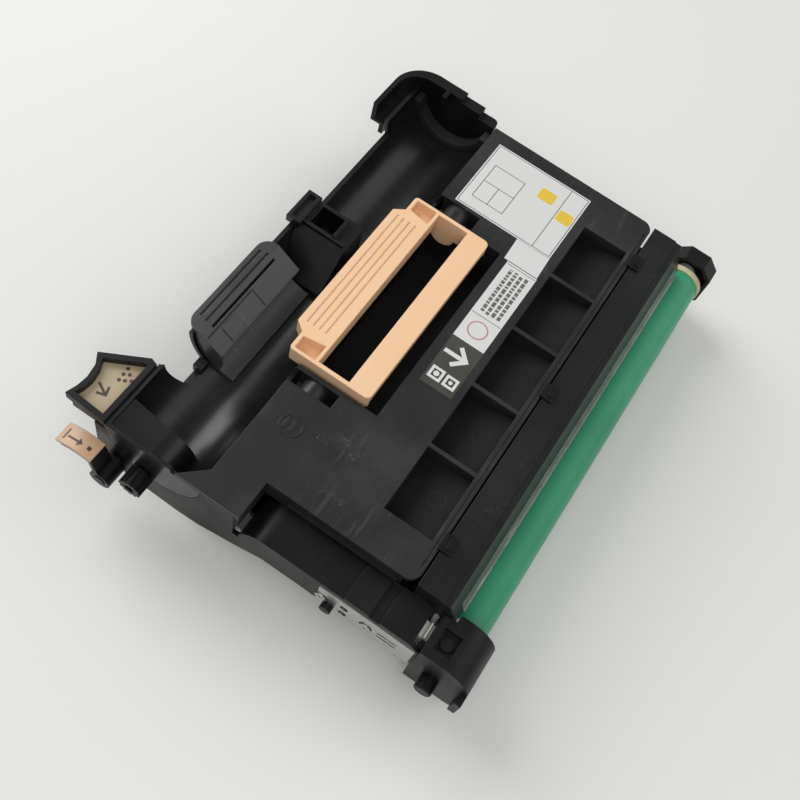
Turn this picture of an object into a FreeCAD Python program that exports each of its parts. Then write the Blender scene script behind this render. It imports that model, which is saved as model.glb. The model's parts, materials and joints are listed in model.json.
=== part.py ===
import FreeCAD
import Part
import Sketcher
import math
import os

V = FreeCAD.Vector
doc = FreeCAD.newDocument("DrumUnit")
sheet = doc.addObject("Spreadsheet::Sheet", "Sizes")
rows = [0]


class Size:
    # a length that knows its number and the sheet expression behind it
    def __init__(self, value, text):
        self.value = float(value)
        self.text = text

    def __add__(self, other):
        o = asSize(other)
        return Size(self.value + o.value, "(" + self.text + " + " + o.text + ")")

    def __radd__(self, other):
        return asSize(other) + self

    def __sub__(self, other):
        o = asSize(other)
        return Size(self.value - o.value, "(" + self.text + " - " + o.text + ")")

    def __rsub__(self, other):
        return asSize(other) - self

    def __mul__(self, other):
        o = asSize(other)
        return Size(self.value * o.value, "(" + self.text + " * " + o.text + ")")

    def __rmul__(self, other):
        return asSize(other) * self

    def __truediv__(self, other):
        o = asSize(other)
        return Size(self.value / o.value, "(" + self.text + " / " + o.text + ")")

    def __neg__(self):
        return Size(-self.value, "(0 - " + self.text + ")")


def asSize(v):
    if isinstance(v, Size):
        return v
    if v < 0:
        return Size(v, "(0 - %.6g)" % -v)
    return Size(v, "%.6g" % v)


def root(v):
    return Size(math.sqrt(v.value), "sqrt(" + v.text + ")")


def cell(name, value, note):
    rows[0] += 1
    r = str(rows[0])
    sheet.set("A" + r, note)
    sheet.set("B" + r, "%.6g" % value)
    sheet.setAlias("B" + r, name)
    return Size(value, "Sizes." + name)


def bind(obj, prop, v):
    s = asSize(v)
    obj.setExpression(prop, s.text)


# ---- driving sizes, mm: X across the drum, Y along it, Z up from the rest plane ----
coverTop = cell("coverTop", 62, "height of the cover plane")
coverThick = cell("coverThick", 2.5, "cover sheet")
wall = cell("wall", 2.2, "moulded wall")
coverLeft = cell("coverLeft", -33.3, "left edge of the cover")
coverRight = cell("coverRight", 68, "right edge of the cover")
coverFar = cell("coverFar", 126.5, "far edge of the cover")
coverNear = cell("coverNear", -117.5, "near edge of the flat cover")
nearFace = cell("nearFace", -138, "near face of the unit")
play = cell("play", 0.3, "clearance between pieces")
fitPlay = cell("fitPlay", 0.05, "radial running clearance")
bayX = cell("bayX", -57.2, "axis of the bottle trough")
bayR = cell("bayR", 24, "inner radius of the trough")
bayFar = cell("bayFar", 124, "far end of the trough")
frameNear = cell("frameNear", -120, "near end wall of the lower frame")
frameFar = cell("frameFar", 124, "far end wall of the lower frame")
drumX = cell("drumX", 96.5, "drum axis across")
drumZ = cell("drumZ", 28, "drum axis height")
drumR = cell("drumR", 12, "drum radius")
drumNear = cell("drumNear", -111, "near end of the drum tube")
drumFar = cell("drumFar", 130, "far end of the drum tube")
shaftR = cell("shaftR", 3, "drum shaft radius")
sleeveR = cell("sleeveR", 8, "developer sleeve radius")
chargeR = cell("chargeR", 4.7, "charge roller radius")
augerR = cell("augerR", 8, "auger radius")
augerShaft = cell("augerShaft", 2.5, "auger shaft radius")
gearNear = cell("gearNear", -131, "near side of the gear plane")
gearWide = cell("gearWide", 8, "gear face width")
chainZ = cell("chainZ", 21.6, "height of the auger row")
pivotX = cell("pivotX", -21, "handle pivot across")
pivotZ = cell("pivotZ", 54, "handle pivot height")
pinR = cell("pinR", 3, "handle pin radius")
wellRight = cell("wellRight", 10.5, "right side of the handle well")
wellNear = cell("wellNear", -60.5, "near side of the well")
wellFar = cell("wellFar", 56, "far side of the well")
wellFloor = cell("wellFloor", 28, "floor of the well")
leverX = cell("leverX", -78, "lock lever pivot across")
leverZ = cell("leverZ", 30, "lock lever pivot height")
pocketLeft = cell("pocketLeft", 37.8, "pockets, left side")
pocketRight = cell("pocketRight", 63.7, "pockets, right side")
pocketStart = cell("pocketStart", -96.3, "first pocket, near side")
pocketPitch = cell("pocketPitch", 39.9, "pocket pitch")
gripNear = cell("gripNear", -77, "near end of the grip panel")
gripFar = cell("gripFar", -14, "far end of the grip panel")
blockFar = cell("blockFar", 23, "far side of the inlet block")
doc.recompute()

# gear train: module 1, so a pitch radius is half the tooth count
teethDrum = 28
teethSleeve = 13
teethSupply = 22
teethMix = 18
teethIdleBig = 26
teethIdleSmall = 18
teethFeed = 18
teethDrive = 26
teethWaste = 12

meshGap = drumR + sleeveR + 0.5
pairModule = meshGap / ((teethDrum + teethSleeve) / 2.0)
sleeveX = drumX - meshGap * 0.866025
sleeveZ = drumZ - meshGap * 0.5
drop = sleeveZ - chainZ
supplyGap = pairModule * (teethSleeve / 2.0) + teethSupply / 2.0
supplyX = sleeveX - root(supplyGap * supplyGap - drop * drop)
mixX = supplyX - 20
idleCX = mixX - 22
idleBX = idleCX - 22
idleAX = idleBX - 22
feedX = idleAX - 22
driveStep = asSize(16.6752)
driveX = feedX - driveStep
driveZ = chainZ + root(asSize(22 * 22) - driveStep * driveStep)
wasteGap = pairModule * (teethDrum / 2.0) + teethWaste / 2.0
wasteX = drumX - wasteGap * 0.64279
wasteZ = drumZ + wasteGap * 0.766044
chargeGap = drumR + chargeR + play
chargeX = drumX - chargeGap * 0.965926
chargeZ = drumZ + chargeGap * 0.258819
rim = bayR + wall
inSide = bayX - bayR + 81.2
outSide = bayX - rim + 83.4

nodes = []


def give(obj, name):
    obj.Label = name
    nodes.append((obj, name))
    return obj


def box(x0, x1, y0, y1, z0, z1, name="slab"):
    b = doc.addObject("Part::Box", name)
    bind(b, "Length", asSize(x1) - x0)
    bind(b, "Width", asSize(y1) - y0)
    bind(b, "Height", asSize(z1) - z0)
    bind(b, "Placement.Base.x", x0)
    bind(b, "Placement.Base.y", y0)
    bind(b, "Placement.Base.z", z0)
    return b


def rod(x, z, r, y0, y1, name="rod"):
    # cylinder along +Y
    c = doc.addObject("Part::Cylinder", name)
    c.Placement = FreeCAD.Placement(V(0, 0, 0), FreeCAD.Rotation(V(1, 0, 0), -90))
    bind(c, "Radius", r)
    bind(c, "Height", asSize(y1) - y0)
    bind(c, "Placement.Base.x", x)
    bind(c, "Placement.Base.y", y0)
    bind(c, "Placement.Base.z", z)
    return c


def post(x, y, r, z0, z1, name="post"):
    # cylinder along +Z
    c = doc.addObject("Part::Cylinder", name)
    bind(c, "Radius", r)
    bind(c, "Height", asSize(z1) - z0)
    bind(c, "Placement.Base.x", x)
    bind(c, "Placement.Base.y", y)
    bind(c, "Placement.Base.z", z0)
    return c


def join(items, name="join"):
    if len(items) == 1:
        return items[0]
    f = doc.addObject("Part::MultiFuse", name)
    f.Shapes = items
    f.Refine = True
    return f


def cut(base, tools, name="cut"):
    c = doc.addObject("Part::Cut", name)
    c.Base = base
    c.Tool = join(tools, "tool")
    c.Refine = True
    return c


def overlap(a, b, name="overlap"):
    c = doc.addObject("Part::Common", name)
    c.Base = a
    c.Tool = b
    return c


def plane(body, role):
    for f in body.Origin.OriginFeatures:
        if f.Role == role:
            return f


def makeBody(name):
    return doc.addObject("PartDesign::Body", name)


def sketchOn(body, role, offset, name):
    s = body.newObject("Sketcher::SketchObject", name)
    s.AttachmentSupport = [(plane(body, role), "")]
    s.MapMode = "FlatFace"
    o = asSize(offset)
    if role == "XZ_Plane":
        o = -o
    bind(s, "AttachmentOffset.Base.z", o)
    return s


def fixPoint(s, geo, pos, axis, v):
    val = asSize(v)
    if abs(val.value) < 1e-9 and val.text == "0":
        i = s.addConstraint(Sketcher.Constraint("PointOnObject", geo, pos, -2 if axis == "X" else -1))
        return
    i = s.addConstraint(Sketcher.Constraint("Distance" + axis, -1, 1, geo, pos, val.value))
    s.setExpression("Constraints[%d]" % i, val.text)


def outline(s, start, steps):
    # steps: ("line", x, y) or ("arc", x, y, cx, cy, turn) with turn +1 counter-clockwise, -1 clockwise
    first = None
    last = None
    here = (asSize(start[0]), asSize(start[1]))
    for k, st in enumerate(steps):
        end = (asSize(st[1]), asSize(st[2]))
        closing = k == len(steps) - 1
        if st[0] == "line":
            a = V(here[0].value, here[1].value, 0)
            b = V(end[0].value, end[1].value, 0)
            g = s.addGeometry(Part.LineSegment(a, b))
            p0, p1 = 1, 2
        else:
            cx, cy = asSize(st[3]), asSize(st[4])
            turn = st[5]
            r = math.hypot(here[0].value - cx.value, here[1].value - cy.value)
            a0 = math.atan2(here[1].value - cy.value, here[0].value - cx.value)
            a1 = math.atan2(end[1].value - cy.value, end[0].value - cx.value)
            circle = Part.Circle(V(cx.value, cy.value, 0), V(0, 0, 1), r)
            if turn > 0:
                g = s.addGeometry(Part.ArcOfCircle(circle, a0, a1 if a1 > a0 else a1 + 2 * math.pi))
                p0, p1 = 1, 2
            else:
                g = s.addGeometry(Part.ArcOfCircle(circle, a1, a0 if a0 > a1 else a0 + 2 * math.pi))
                p0, p1 = 2, 1
        if last is None:
            first = (g, p0)
            fixPoint(s, g, p0, "X", here[0])
            fixPoint(s, g, p0, "Y", here[1])
        else:
            s.addConstraint(Sketcher.Constraint("Coincident", last[0], last[1], g, p0))
        if closing:
            s.addConstraint(Sketcher.Constraint("Coincident", g, p1, first[0], first[1]))
            if st[0] == "arc":
                dx = abs(end[0].value - cx.value)
                dy = abs(end[1].value - cy.value)
                # the closing point is fixed already, so one centre coordinate is enough
                if dx > dy:
                    fixPoint(s, g, 3, "Y", cy)
                else:
                    fixPoint(s, g, 3, "X", cx)
        elif st[0] == "line":
            fixPoint(s, g, p1, "X", end[0])
            fixPoint(s, g, p1, "Y", end[1])
        else:
            fixPoint(s, g, 3, "X", cx)
            fixPoint(s, g, 3, "Y", cy)
            if abs(end[1].value - cy.value) < abs(end[0].value - cx.value):
                fixPoint(s, g, p1, "Y", end[1])
            else:
                fixPoint(s, g, p1, "X", end[0])
        last = (g, p1)
        here = end


def polygon(s, pts):
    outline(s, pts[0], [("line", p[0], p[1]) for p in pts[1:]] + [("line", pts[0][0], pts[0][1])])


def padUp(body, sketch, length, name, back=False):
    p = body.newObject("PartDesign::Pad", name)
    p.Profile = sketch
    p.Reversed = back
    bind(p, "Length", length)
    return p


def pocketDown(body, sketch, length, name, back=False):
    p = body.newObject("PartDesign::Pocket", name)
    p.Profile = sketch
    p.Reversed = back
    bind(p, "Length", length)
    return p


def turned(name, x, z, profile):
    # a body turned about its own Y axis: profile points are (radius, y), the body then stands at x, z
    body = makeBody(name)
    s = sketchOn(body, "XY_Plane", 0, name + "Profile")
    polygon(s, profile)
    r = body.newObject("PartDesign::Revolution", name + "Turn")
    r.Profile = s
    r.ReferenceAxis = (s, ["V_Axis"])
    r.Angle = 360
    body.Tip = r
    bind(body, "Placement.Base.x", x)
    bind(body, "Placement.Base.z", z)
    return body


def gearShape(teeth, boreR, width, module=1.0):
    # spur gear with straight-flanked teeth, its axis along +Y
    pitch = teeth / 2.0
    pts = []
    for k in range(teeth):
        c = 2 * math.pi * k / teeth
        for r, w in ((pitch - 1.2, -0.93), (pitch + 0.9, -0.36), (pitch + 0.9, 0.36), (pitch - 1.2, 0.93)):
            a = c + w / r
            pts.append(V(module * r * math.cos(a), 0, module * r * math.sin(a)))
    pts.append(pts[0])
    face = Part.Face(Part.makePolygon(pts))
    solid = face.extrude(V(0, width, 0))
    if boreR > 0:
        solid = solid.cut(Part.makeCylinder(boreR, width + 2, V(0, -1, 0), V(0, 1, 0)))
    return solid


def turnTo(shape, degrees):
    shape.rotate(V(0, 0, 0), V(0, 1, 0), degrees)
    return shape


def meshPhase(parentTeeth, parentPhase, dx, dz, childTeeth):
    # angle (about +Y seen as x->z counter-clockwise) that puts a child gap on the parent tooth line
    toward = math.degrees(math.atan2(dz, dx))
    lead = (toward - parentPhase) / (360.0 / parentTeeth)
    frac = lead - math.floor(lead)
    back = toward + 180.0
    return back + (frac + 0.5) * 360.0 / childTeeth


def feature(shape, name, x, y, z):
    f = doc.addObject("Part::Feature", name)
    f.Shape = shape
    bind(f, "Placement.Base.x", x)
    bind(f, "Placement.Base.y", y)
    bind(f, "Placement.Base.z", z)
    return f


# ================= top cover =================
cover = makeBody("TopCover")
s = sketchOn(cover, "XY_Plane", coverTop, "coverPlan")
cr = 6
outline(s, (coverLeft, coverFar), [
    ("line", coverLeft, nearFace + 11),
    ("line", coverLeft - 11.6, nearFace),
    ("line", -10.5, nearFace),
    ("line", -10.5, coverNear),
    ("line", coverRight - cr, coverNear),
    ("arc", coverRight, coverNear + cr, coverRight - cr, coverNear + cr, 1),
    ("line", coverRight, coverFar - cr),
    ("arc", coverRight - cr, coverFar, coverRight - cr, coverFar - cr, 1),
    ("line", coverLeft, coverFar)])
padUp(cover, s, coverThick, "coverSheet", True)
blockLeft = pocketLeft - wall
blockRight = pocketRight + 1.8
s = sketchOn(cover, "XZ_Plane", pocketStart - wall, "pocketBlock")
polygon(s, [(blockLeft, coverTop - 1), (blockLeft, coverTop - 17), (pocketLeft + 2, coverTop - 17),
            (blockRight, coverTop - 8), (blockRight, coverTop - 1)])
padUp(cover, s, pocketPitch * 5 + wall, "pocketMass", True)
s = sketchOn(cover, "XZ_Plane", pocketStart, "pocketCut")
polygon(s, [(pocketLeft, coverTop + 1), (pocketLeft, coverTop - 15), (pocketRight, coverTop - 6),
            (pocketRight, coverTop + 1)])
pc = pocketDown(cover, s, pocketPitch - wall, "pocketOne")
lp = cover.newObject("PartDesign::LinearPattern", "pocketRow")
lp.Originals = [pc]
lp.Direction = (plane(cover, "Y_Axis"), [""])
bind(lp, "Length", pocketPitch * 4)
lp.Occurrences = 5
cover.Tip = lp
doc.recompute()

skirts = [
    box(coverRight - wall, coverRight, coverNear + cr, coverFar - cr, coverTop - 9, coverTop - 1),
    box(-10.5, coverRight - cr, coverNear, coverNear + wall, coverTop - 12, coverTop - 1),
    box(2, coverRight - cr - 2, coverNear - 1.5, coverNear + 1, coverTop - 7, coverTop - 5.8),
    box(coverLeft + 3, coverRight - cr, coverFar - wall, coverFar, coverTop - 12, coverTop - 1),
    box(-10.5 - wall, -10.5, nearFace, coverNear + wall, coverTop - 12, coverTop - 1),
    box(coverLeft + 4.7, wellRight + wall, wellNear - wall, wellFar + wall, wellFloor - wall, coverTop - 1),
    box(coverLeft + 2.5, coverLeft + 4.7, wellNear - wall, wellFar + wall, wellFloor - wall, coverTop - 12)]
notchWide = 10
bossNear = wellNear - notchWide
bossFar = wellFar + notchWide + 2
notches = [
    box(coverLeft + 2.5, -9 + wall, bossNear - wall, wellNear, coverTop - 14, coverTop - 1),
    box(coverLeft + 2.5, -9 + wall, wellFar, bossFar + wall, coverTop - 14, coverTop - 1)]
s1 = join([cover] + skirts + notches, "coverWalls")
well = box(coverLeft - 1, wellRight, wellNear, wellFar, wellFloor, coverTop + 1)
notchCuts = [
    box(coverLeft - 1, -9, bossNear, wellNear - wall, coverTop - 11, coverTop + 1),
    box(coverLeft - 1, -9, wellFar + wall, bossFar, coverTop - 11, coverTop + 1)]
s2 = cut(s1, [well] + notchCuts, "coverOpened")
bosses = [
    rod(pivotX, pivotZ, 7, bossNear, wellNear - 1), rod(pivotX, pivotZ, 7, wellFar + 1, bossFar)]
ring = cut(post(-18.1, -88.7, 6, coverTop - 0.5, coverTop + 0.4), [post(-18.1, -88.7, 5.1, coverTop - 1, coverTop + 1)])
bars = [
    box(-21.6, -19.8, -91.7, -85.7, coverTop - 0.5, coverTop + 0.4),
    box(-17.9, -16.1, -91.7, -85.7, coverTop - 0.5, coverTop + 0.4)]
s3 = join([s2, ring] + bosses + bars, "coverBossed")
bores = [rod(pivotX, pivotZ, pinR + fitPlay, bossNear + 2, bossFar - 2)]
seam = box(coverRight - 2.4, coverRight - 1.6, coverNear + 8, coverFar - 8, coverTop - 0.8, coverTop + 1)
give(cut(s3, bores + [seam], "TopCoverDone"), "top_cover")

# ================= carry handle =================
handleNear = wellNear + 1.8
handleFar = wellFar - 2
handleTop = coverTop + 5
gripLeft = asSize(-41.2)
gripRight = asSize(-25.9)
barLeft = asSize(-8.6)
barRight = asSize(3.7)
handle = makeBody("CarryHandle")
s = sketchOn(handle, "XY_Plane", handleTop, "handlePlan")
outline(s, (gripLeft + 2, handleNear), [
    ("line", barRight - 3, handleNear),
    ("arc", barRight, handleNear + 3, barRight - 3, handleNear + 3, 1),
    ("line", barRight, handleFar - 3),
    ("arc", barRight - 3, handleFar, barRight - 3, handleFar - 3, 1),
    ("line", gripLeft + 2, handleFar),
    ("arc", gripLeft, handleFar - 2, gripLeft + 2, handleFar - 2, 1),
    ("line", gripLeft, 43.5),
    ("line", gripLeft - 5.2, 39.5),
    ("line", gripLeft - 5.2, -44),
    ("line", gripLeft, -48),
    ("line", gripLeft, handleNear + 2),
    ("arc", gripLeft + 2, handleNear, gripLeft + 2, handleNear + 2, 1)])
padUp(handle, s, 9.5, "handleBlank", True)
s = sketchOn(handle, "XY_Plane", handleTop + 1, "handleHole")
polygon(s, [(gripRight, handleNear + wall), (barLeft, handleNear + wall), (barLeft, handleFar - wall),
            (gripRight, handleFar - wall)])
pocketDown(handle, s, 14, "handleOpening")
s = sketchOn(handle, "XY_Plane", handleTop - 9.5, "gripHollow")
polygon(s, [(gripLeft - 3.2, -42), (gripLeft - 3.2, 37.5), (gripLeft + 2.2, 40.5), (gripRight - 2, 40.5),
            (gripRight - 2, -45), (gripLeft + 2.2, -45)])
pocketDown(handle, s, 7.1, "gripUnderside", True)
s = sketchOn(handle, "XY_Plane", handleTop - 9.5, "barHollow")
polygon(s, [(barLeft - 1, handleNear + wall), (barRight + 1, handleNear + wall), (barRight + 1, handleFar - wall),
            (barLeft - 1, handleFar - wall)])
pocketDown(handle, s, 5.1, "barUnderside", True)
s = sketchOn(handle, "XY_Plane", handleTop + 1, "cornerRecessNear")
polygon(s, [(gripLeft + 2, handleNear + 1.8), (gripRight - 1.8, handleNear + 1.8), (gripRight - 1.8, handleNear + 11),
            (gripLeft + 2, handleNear + 9)])
pocketDown(handle, s, 7, "recessNear")
s = sketchOn(handle, "XY_Plane", handleTop + 1, "cornerRecessFar")
polygon(s, [(gripLeft + 2, handleFar - 1.8), (gripLeft + 2, handleFar - 9), (gripRight - 1.8, handleFar - 11),
            (gripRight - 1.8, handleFar - 1.8)])
pocketDown(handle, s, 7, "recessFar")
s = sketchOn(handle, "XY_Plane", handleTop + 1, "gripGroove")
polygon(s, [(gripLeft - 1.5, -42), (gripLeft - 0.7, -42), (gripLeft - 0.7, 38), (gripLeft - 1.5, 38)])
gg = pocketDown(handle, s, 1.5, "grooveOne")
lp = handle.newObject("PartDesign::LinearPattern", "grooveRow")
lp.Originals = [gg]
lp.Direction = (plane(handle, "X_Axis"), [""])
lp.Length = 10.5
lp.Occurrences = 4
handle.Tip = lp
doc.recompute()
lobes = [
    rod(pivotX, pivotZ, 7, handleNear, handleNear + wall), rod(pivotX, pivotZ, 7, handleFar - wall, handleFar),
    box(pivotX - 10, pivotX + 10, handleNear, handleNear + wall, pivotZ, handleTop - 9),
    box(pivotX - 10, pivotX + 10, handleFar - wall, handleFar, pivotZ, handleTop - 9),
    rod(pivotX, pivotZ, pinR, bossNear + 2.5, handleNear + 1), rod(pivotX, pivotZ, pinR, handleFar - 1, bossFar - 2.5)]
give(join([handle] + lobes, "CarryHandleDone"), "carry_handle")

# ================= bottle trough =================
troughOuter = rod(bayX, coverTop, rim, nearFace, bayFar)
lowHalf = box(bayX - 40, bayX + 40, nearFace - 1, bayFar + 1, coverTop - 40, coverTop)
half = overlap(troughOuter, lowHalf)
roof = makeBody("DriveRoof")
s = sketchOn(roof, "XZ_Plane", nearFace, "roofSection")
outline(s, (driveX - 18.6, coverTop - 2), [
    ("line", driveX - 18.6, coverTop - 32),
    ("line", driveX + 16.53, coverTop - 32),
    ("line", driveX + 16.53, driveZ),
    ("arc", driveX + 1.6, coverTop - 9.6, driveX, driveZ, 1),
    ("line", driveX - 18.6, coverTop - 2)])
padUp(roof, s, 18.5, "roofMass", True)
roof.Tip = roof.Group[-1]
sideGap = makeBody("SideGap")
s = sketchOn(sideGap, "XY_Plane", coverTop + 6, "gapPlan")
polygon(s, [(outSide - 96, -100), (outSide - 83, -100), (outSide - 72, -92.5), (outSide - 68, gripNear - 1.5),
            (outSide - 96, gripNear - 1.5)])
padUp(sideGap, s, 25, "gapMass", True)
sideGap.Tip = sideGap.Group[-1]
endRoom = cut(rod(bayX, coverTop, bayR, nearFace + 2, bayFar + 1), [roof])
driveRoom = rod(driveX, driveZ, teethDrive / 2.0 + 1.6, gearNear - 1, nearFace + 16.5)
troughCuts = [
    endRoom, sideGap,
    box(bayX - 40, bayX - 12, blockFar + 0.5, bayFar - 34, coverTop - 9.5, coverTop + 5),
    overlap(driveRoom, box(driveX - 30, driveX + 30, nearFace, nearFace + 30, 0, coverTop - 11)),
    box(driveX - 14.6, driveX + 14.6, gearNear - 1, nearFace + 16.5, 10, driveZ),
    box(coverLeft - 3, coverLeft + 6, nearFace + 14, bayFar + 1, coverTop - coverThick - play, coverTop + 1),
    box(coverLeft - 3, coverLeft + 6, wellNear - 13, wellFar + 15, coverTop - 12, coverTop + 1),
    box(coverLeft - 14, coverLeft + 6, nearFace - 1, nearFace + 15, coverTop - coverThick - play, coverTop + 1),
    rod(driveX, driveZ, 3 + fitPlay, nearFace - 1, nearFace + 17.7)]
give(cut(half, troughCuts, "TroughDone"), "bottle_trough")

# ================= lower frame =================
frameBottom = chainZ - augerR - 1 - 2
frameBlank = join([
    box(feedX - 11, sleeveX, frameNear, frameFar, frameBottom, chainZ + 3),
    rod(feedX, chainZ, 11, frameNear, frameFar),
    box(mixX - 11, coverRight + 0.7, frameNear, frameFar, frameBottom, coverTop - 18.5),
    box(feedX - 11, feedX + 11, frameNear, frameFar, chainZ, coverTop - rim - 1.2),
    rod(sleeveX, sleeveZ, 11.2, frameNear, frameFar)])
chambers = [
    rod(feedX, chainZ, augerR + 1, frameNear + 3, frameFar - 3),
    rod(mixX, chainZ, augerR + 1, frameNear + 3, frameFar - 3),
    rod(supplyX, chainZ, augerR + 1, frameNear + 3, frameFar - 3),
    rod(sleeveX, sleeveZ, sleeveR + 1, frameNear + 3, frameFar - 3),
    box(mixX - 9, coverRight - 1.3, frameNear + 3, frameFar - 3, chainZ, coverTop - 20.5),
    box(feedX, mixX, 60, frameFar - 3, frameBottom + 2, chainZ + 1),
    box(feedX + 13, mixX - 13, frameNear + 3, 57.6, frameBottom - 1, chainZ + 0.8),
    box(sleeveX, sleeveX + 16, frameNear - 1, frameFar + 1, sleeveZ - 6, sleeveZ + 22),
    box(coverRight + 0.7, sleeveX + 16, frameNear - 1, frameFar + 1, sleeveZ + 5, sleeveZ + 22),
    rod(drumX, drumZ, drumR + 1.6, frameNear - 1, frameFar + 1),
    box(feedX - 10, feedX + 3, frameNear + 3, frameFar - 3, chainZ, coverTop - rim - 3)]
feet = [
    box(feedX - 8, coverRight + 0.7, -101.2, -98.8, 0, frameBottom + 1),
    box(feedX - 8, coverRight + 0.7, -31.2, -28.8, 0, frameBottom + 1),
    box(feedX - 8, coverRight + 0.7, 38.8, 41.2, 0, frameBottom + 1),
    box(feedX - 8, coverRight + 0.7, 102.8, 105.2, 0, frameBottom + 1),
    box(-20, 30, -99, 103, 0, 3)]
shaftHoles = [
    rod(36, 40, 1.55, nearFace, frameNear + 2), rod(60, 40, 1.55, nearFace, frameNear + 2),
    rod(52, 38, 1.55, frameFar - 6, frameFar + 1), rod(62, 38, 1.55, frameFar - 6, frameFar + 1),
    rod(feedX, chainZ, augerShaft + fitPlay, frameNear - 1, frameNear + 4),
    rod(mixX, chainZ, augerShaft + fitPlay, frameNear - 1, frameNear + 4),
    rod(supplyX, chainZ, augerShaft + fitPlay, frameNear - 1, frameNear + 4),
    rod(sleeveX, sleeveZ, 3 + fitPlay, frameNear - 1, frameNear + 4),
    rod(feedX, chainZ, augerShaft + fitPlay, frameFar - 4, frameFar - 1.5),
    rod(mixX, chainZ, augerShaft + fitPlay, frameFar - 4, frameFar - 1.5),
    rod(supplyX, chainZ, augerShaft + fitPlay, frameFar - 4, frameFar - 1.5),
    rod(sleeveX, sleeveZ, 3 + fitPlay, frameFar - 4, frameFar - 1.5)]
idlePosts = [
    rod(idleAX, chainZ, 2.5, gearNear - 0.6, frameNear + 1), rod(idleBX, chainZ, 2.5, gearNear - 0.6, frameNear + 1),
    rod(idleCX, chainZ, 2.5, gearNear - 0.6, frameNear + 1)]
idlePosts += [
    rod(36, 40, 3.2, nearFace + 3, frameNear + 1), rod(60, 40, 3.2, nearFace + 3, frameNear + 1)]
chambers += [box(85.3, 95, frameNear - 1, drumNear - 2, 0, 20)]
tub = cut(frameBlank, chambers, "frameTub")
give(cut(join([tub] + feet + idlePosts, "frameFooted"), shaftHoles, "LowerFrameDone"), "lower_frame")

# ================= cleaner beam over the drum =================
beamNear = frameNear + 3
beamFar = frameFar + 2
beam = makeBody("CleanerBeam")
s = sketchOn(beam, "XZ_Plane", beamNear, "beamSection")
beamLeft = coverRight + 1
polygon(s, [(beamLeft, coverTop), (86, coverTop), (91.9, coverTop - 18.6), (89.9, coverTop - 19.2),
            (86.2, coverTop - 24.4), (beamLeft + 2, coverTop - 24.4), (beamLeft + 2, coverTop - 35.5),
            (beamLeft, coverTop - 35.5)])
padUp(beam, s, beamFar - beamNear, "beamMass", True)
s = sketchOn(beam, "XZ_Plane", beamNear + 2, "beamHollow")
polygon(s, [(beamLeft + 2, coverTop - 2), (84.3, coverTop - 2), (90.2, coverTop - 20), (87, coverTop - 25),
            (85.6, coverTop - 23.2), (beamLeft + 2, coverTop - 23.2)])
pocketDown(beam, s, beamFar - beamNear - 4, "beamInside")
s = sketchOn(beam, "XY_Plane", coverTop, "beamStep")
polygon(s, [(82.6, beamNear - 1), (95, beamNear - 1), (95, beamFar + 1), (82.6, beamFar + 1)])
pocketDown(beam, s, 0.8, "beamLip")
beam.Tip = beam.Group[-1]
doc.recompute()
plateSection = [(beamLeft, coverTop - 2), (85.3, coverTop - 2), (91, coverTop - 19), (88, coverTop - 24),
                (86, coverTop - 35.5), (beamLeft, coverTop - 35.5)]
ends = makeBody("BeamEnds")
s = sketchOn(ends, "XZ_Plane", beamNear, "endSection")
polygon(s, plateSection)
padUp(ends, s, 2, "endNear", True)
ends.Tip = ends.Group[-1]
ends2 = makeBody("BeamEndsFar")
s = sketchOn(ends2, "XZ_Plane", beamFar - 2, "endSectionFar")
polygon(s, plateSection)
padUp(ends2, s, 2, "endFar", True)
ends2.Tip = ends2.Group[-1]
beamCuts = [
    rod(drumX, drumZ, drumR + 0.9, beamNear - 1, beamFar + 1),
    rod(wasteX, wasteZ, 1.5 + fitPlay, beamNear - 1, beamNear + 3),
    rod(wasteX, wasteZ, 1.5 + fitPlay, beamFar - 3, beamFar - 0.8),
    rod(chargeX, chargeZ, 2.5 + fitPlay, beamNear - 1, beamNear + 3),
    rod(chargeX, chargeZ, 2.5 + fitPlay, beamFar - 3, beamFar - 0.8)]
give(cut(join([beam, ends, ends2], "beamWalls"), beamCuts, "CleanerBeamDone"), "cleaner_beam")


def along(t, n):
    # a point on the beam's sloping inner face: t down the slope, n inward from it
    return (asSize(84.3 + 0.3129 * t - 0.9498 * n), coverTop - 2 - 0.9498 * t - 0.3129 * n)


def strip(name, label, pts, y0, y1):
    b = makeBody(name)
    sk = sketchOn(b, "XZ_Plane", y0, name + "Section")
    polygon(sk, pts)
    padUp(b, sk, asSize(y1) - y0, name + "Length", True)
    b.Tip = b.Group[-1]
    if label:
        give(b, label)
    return b


strip("BladeBracket", "cleaning_blade_bracket", [along(2, 0.03), along(17, 0.03), along(17, 1.23), along(2, 1.23)],
      drumNear, drumFar - 9)
bladeEnd = 34 - drumR
strip("CleaningBlade", "cleaning_blade",
      [along(11, 1.23), along(bladeEnd, 1.23), along(bladeEnd, 2.63), along(11, 2.63)],
      drumNear + 1, drumFar - 10)
strip("LipFilm", "lip_film",
      [(90, coverTop - 12.6), (90.29, coverTop - 12.51), (92.2, coverTop - 18.4), (93.3, coverTop - 19.9),
       (93.1, coverTop - 20.1), (91.9, coverTop - 18.6)], drumNear + 3, drumFar - 8)
strip("TrimmingBlade", "trimming_blade",
      [(beamLeft + 2, coverTop - 24.6), (beamLeft + 3.2, coverTop - 24.6), (beamLeft + 3.2, sleeveZ + 5.6),
       (beamLeft + 2, sleeveZ + 5.6)],
      drumNear + 2, drumFar - 10)

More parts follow.
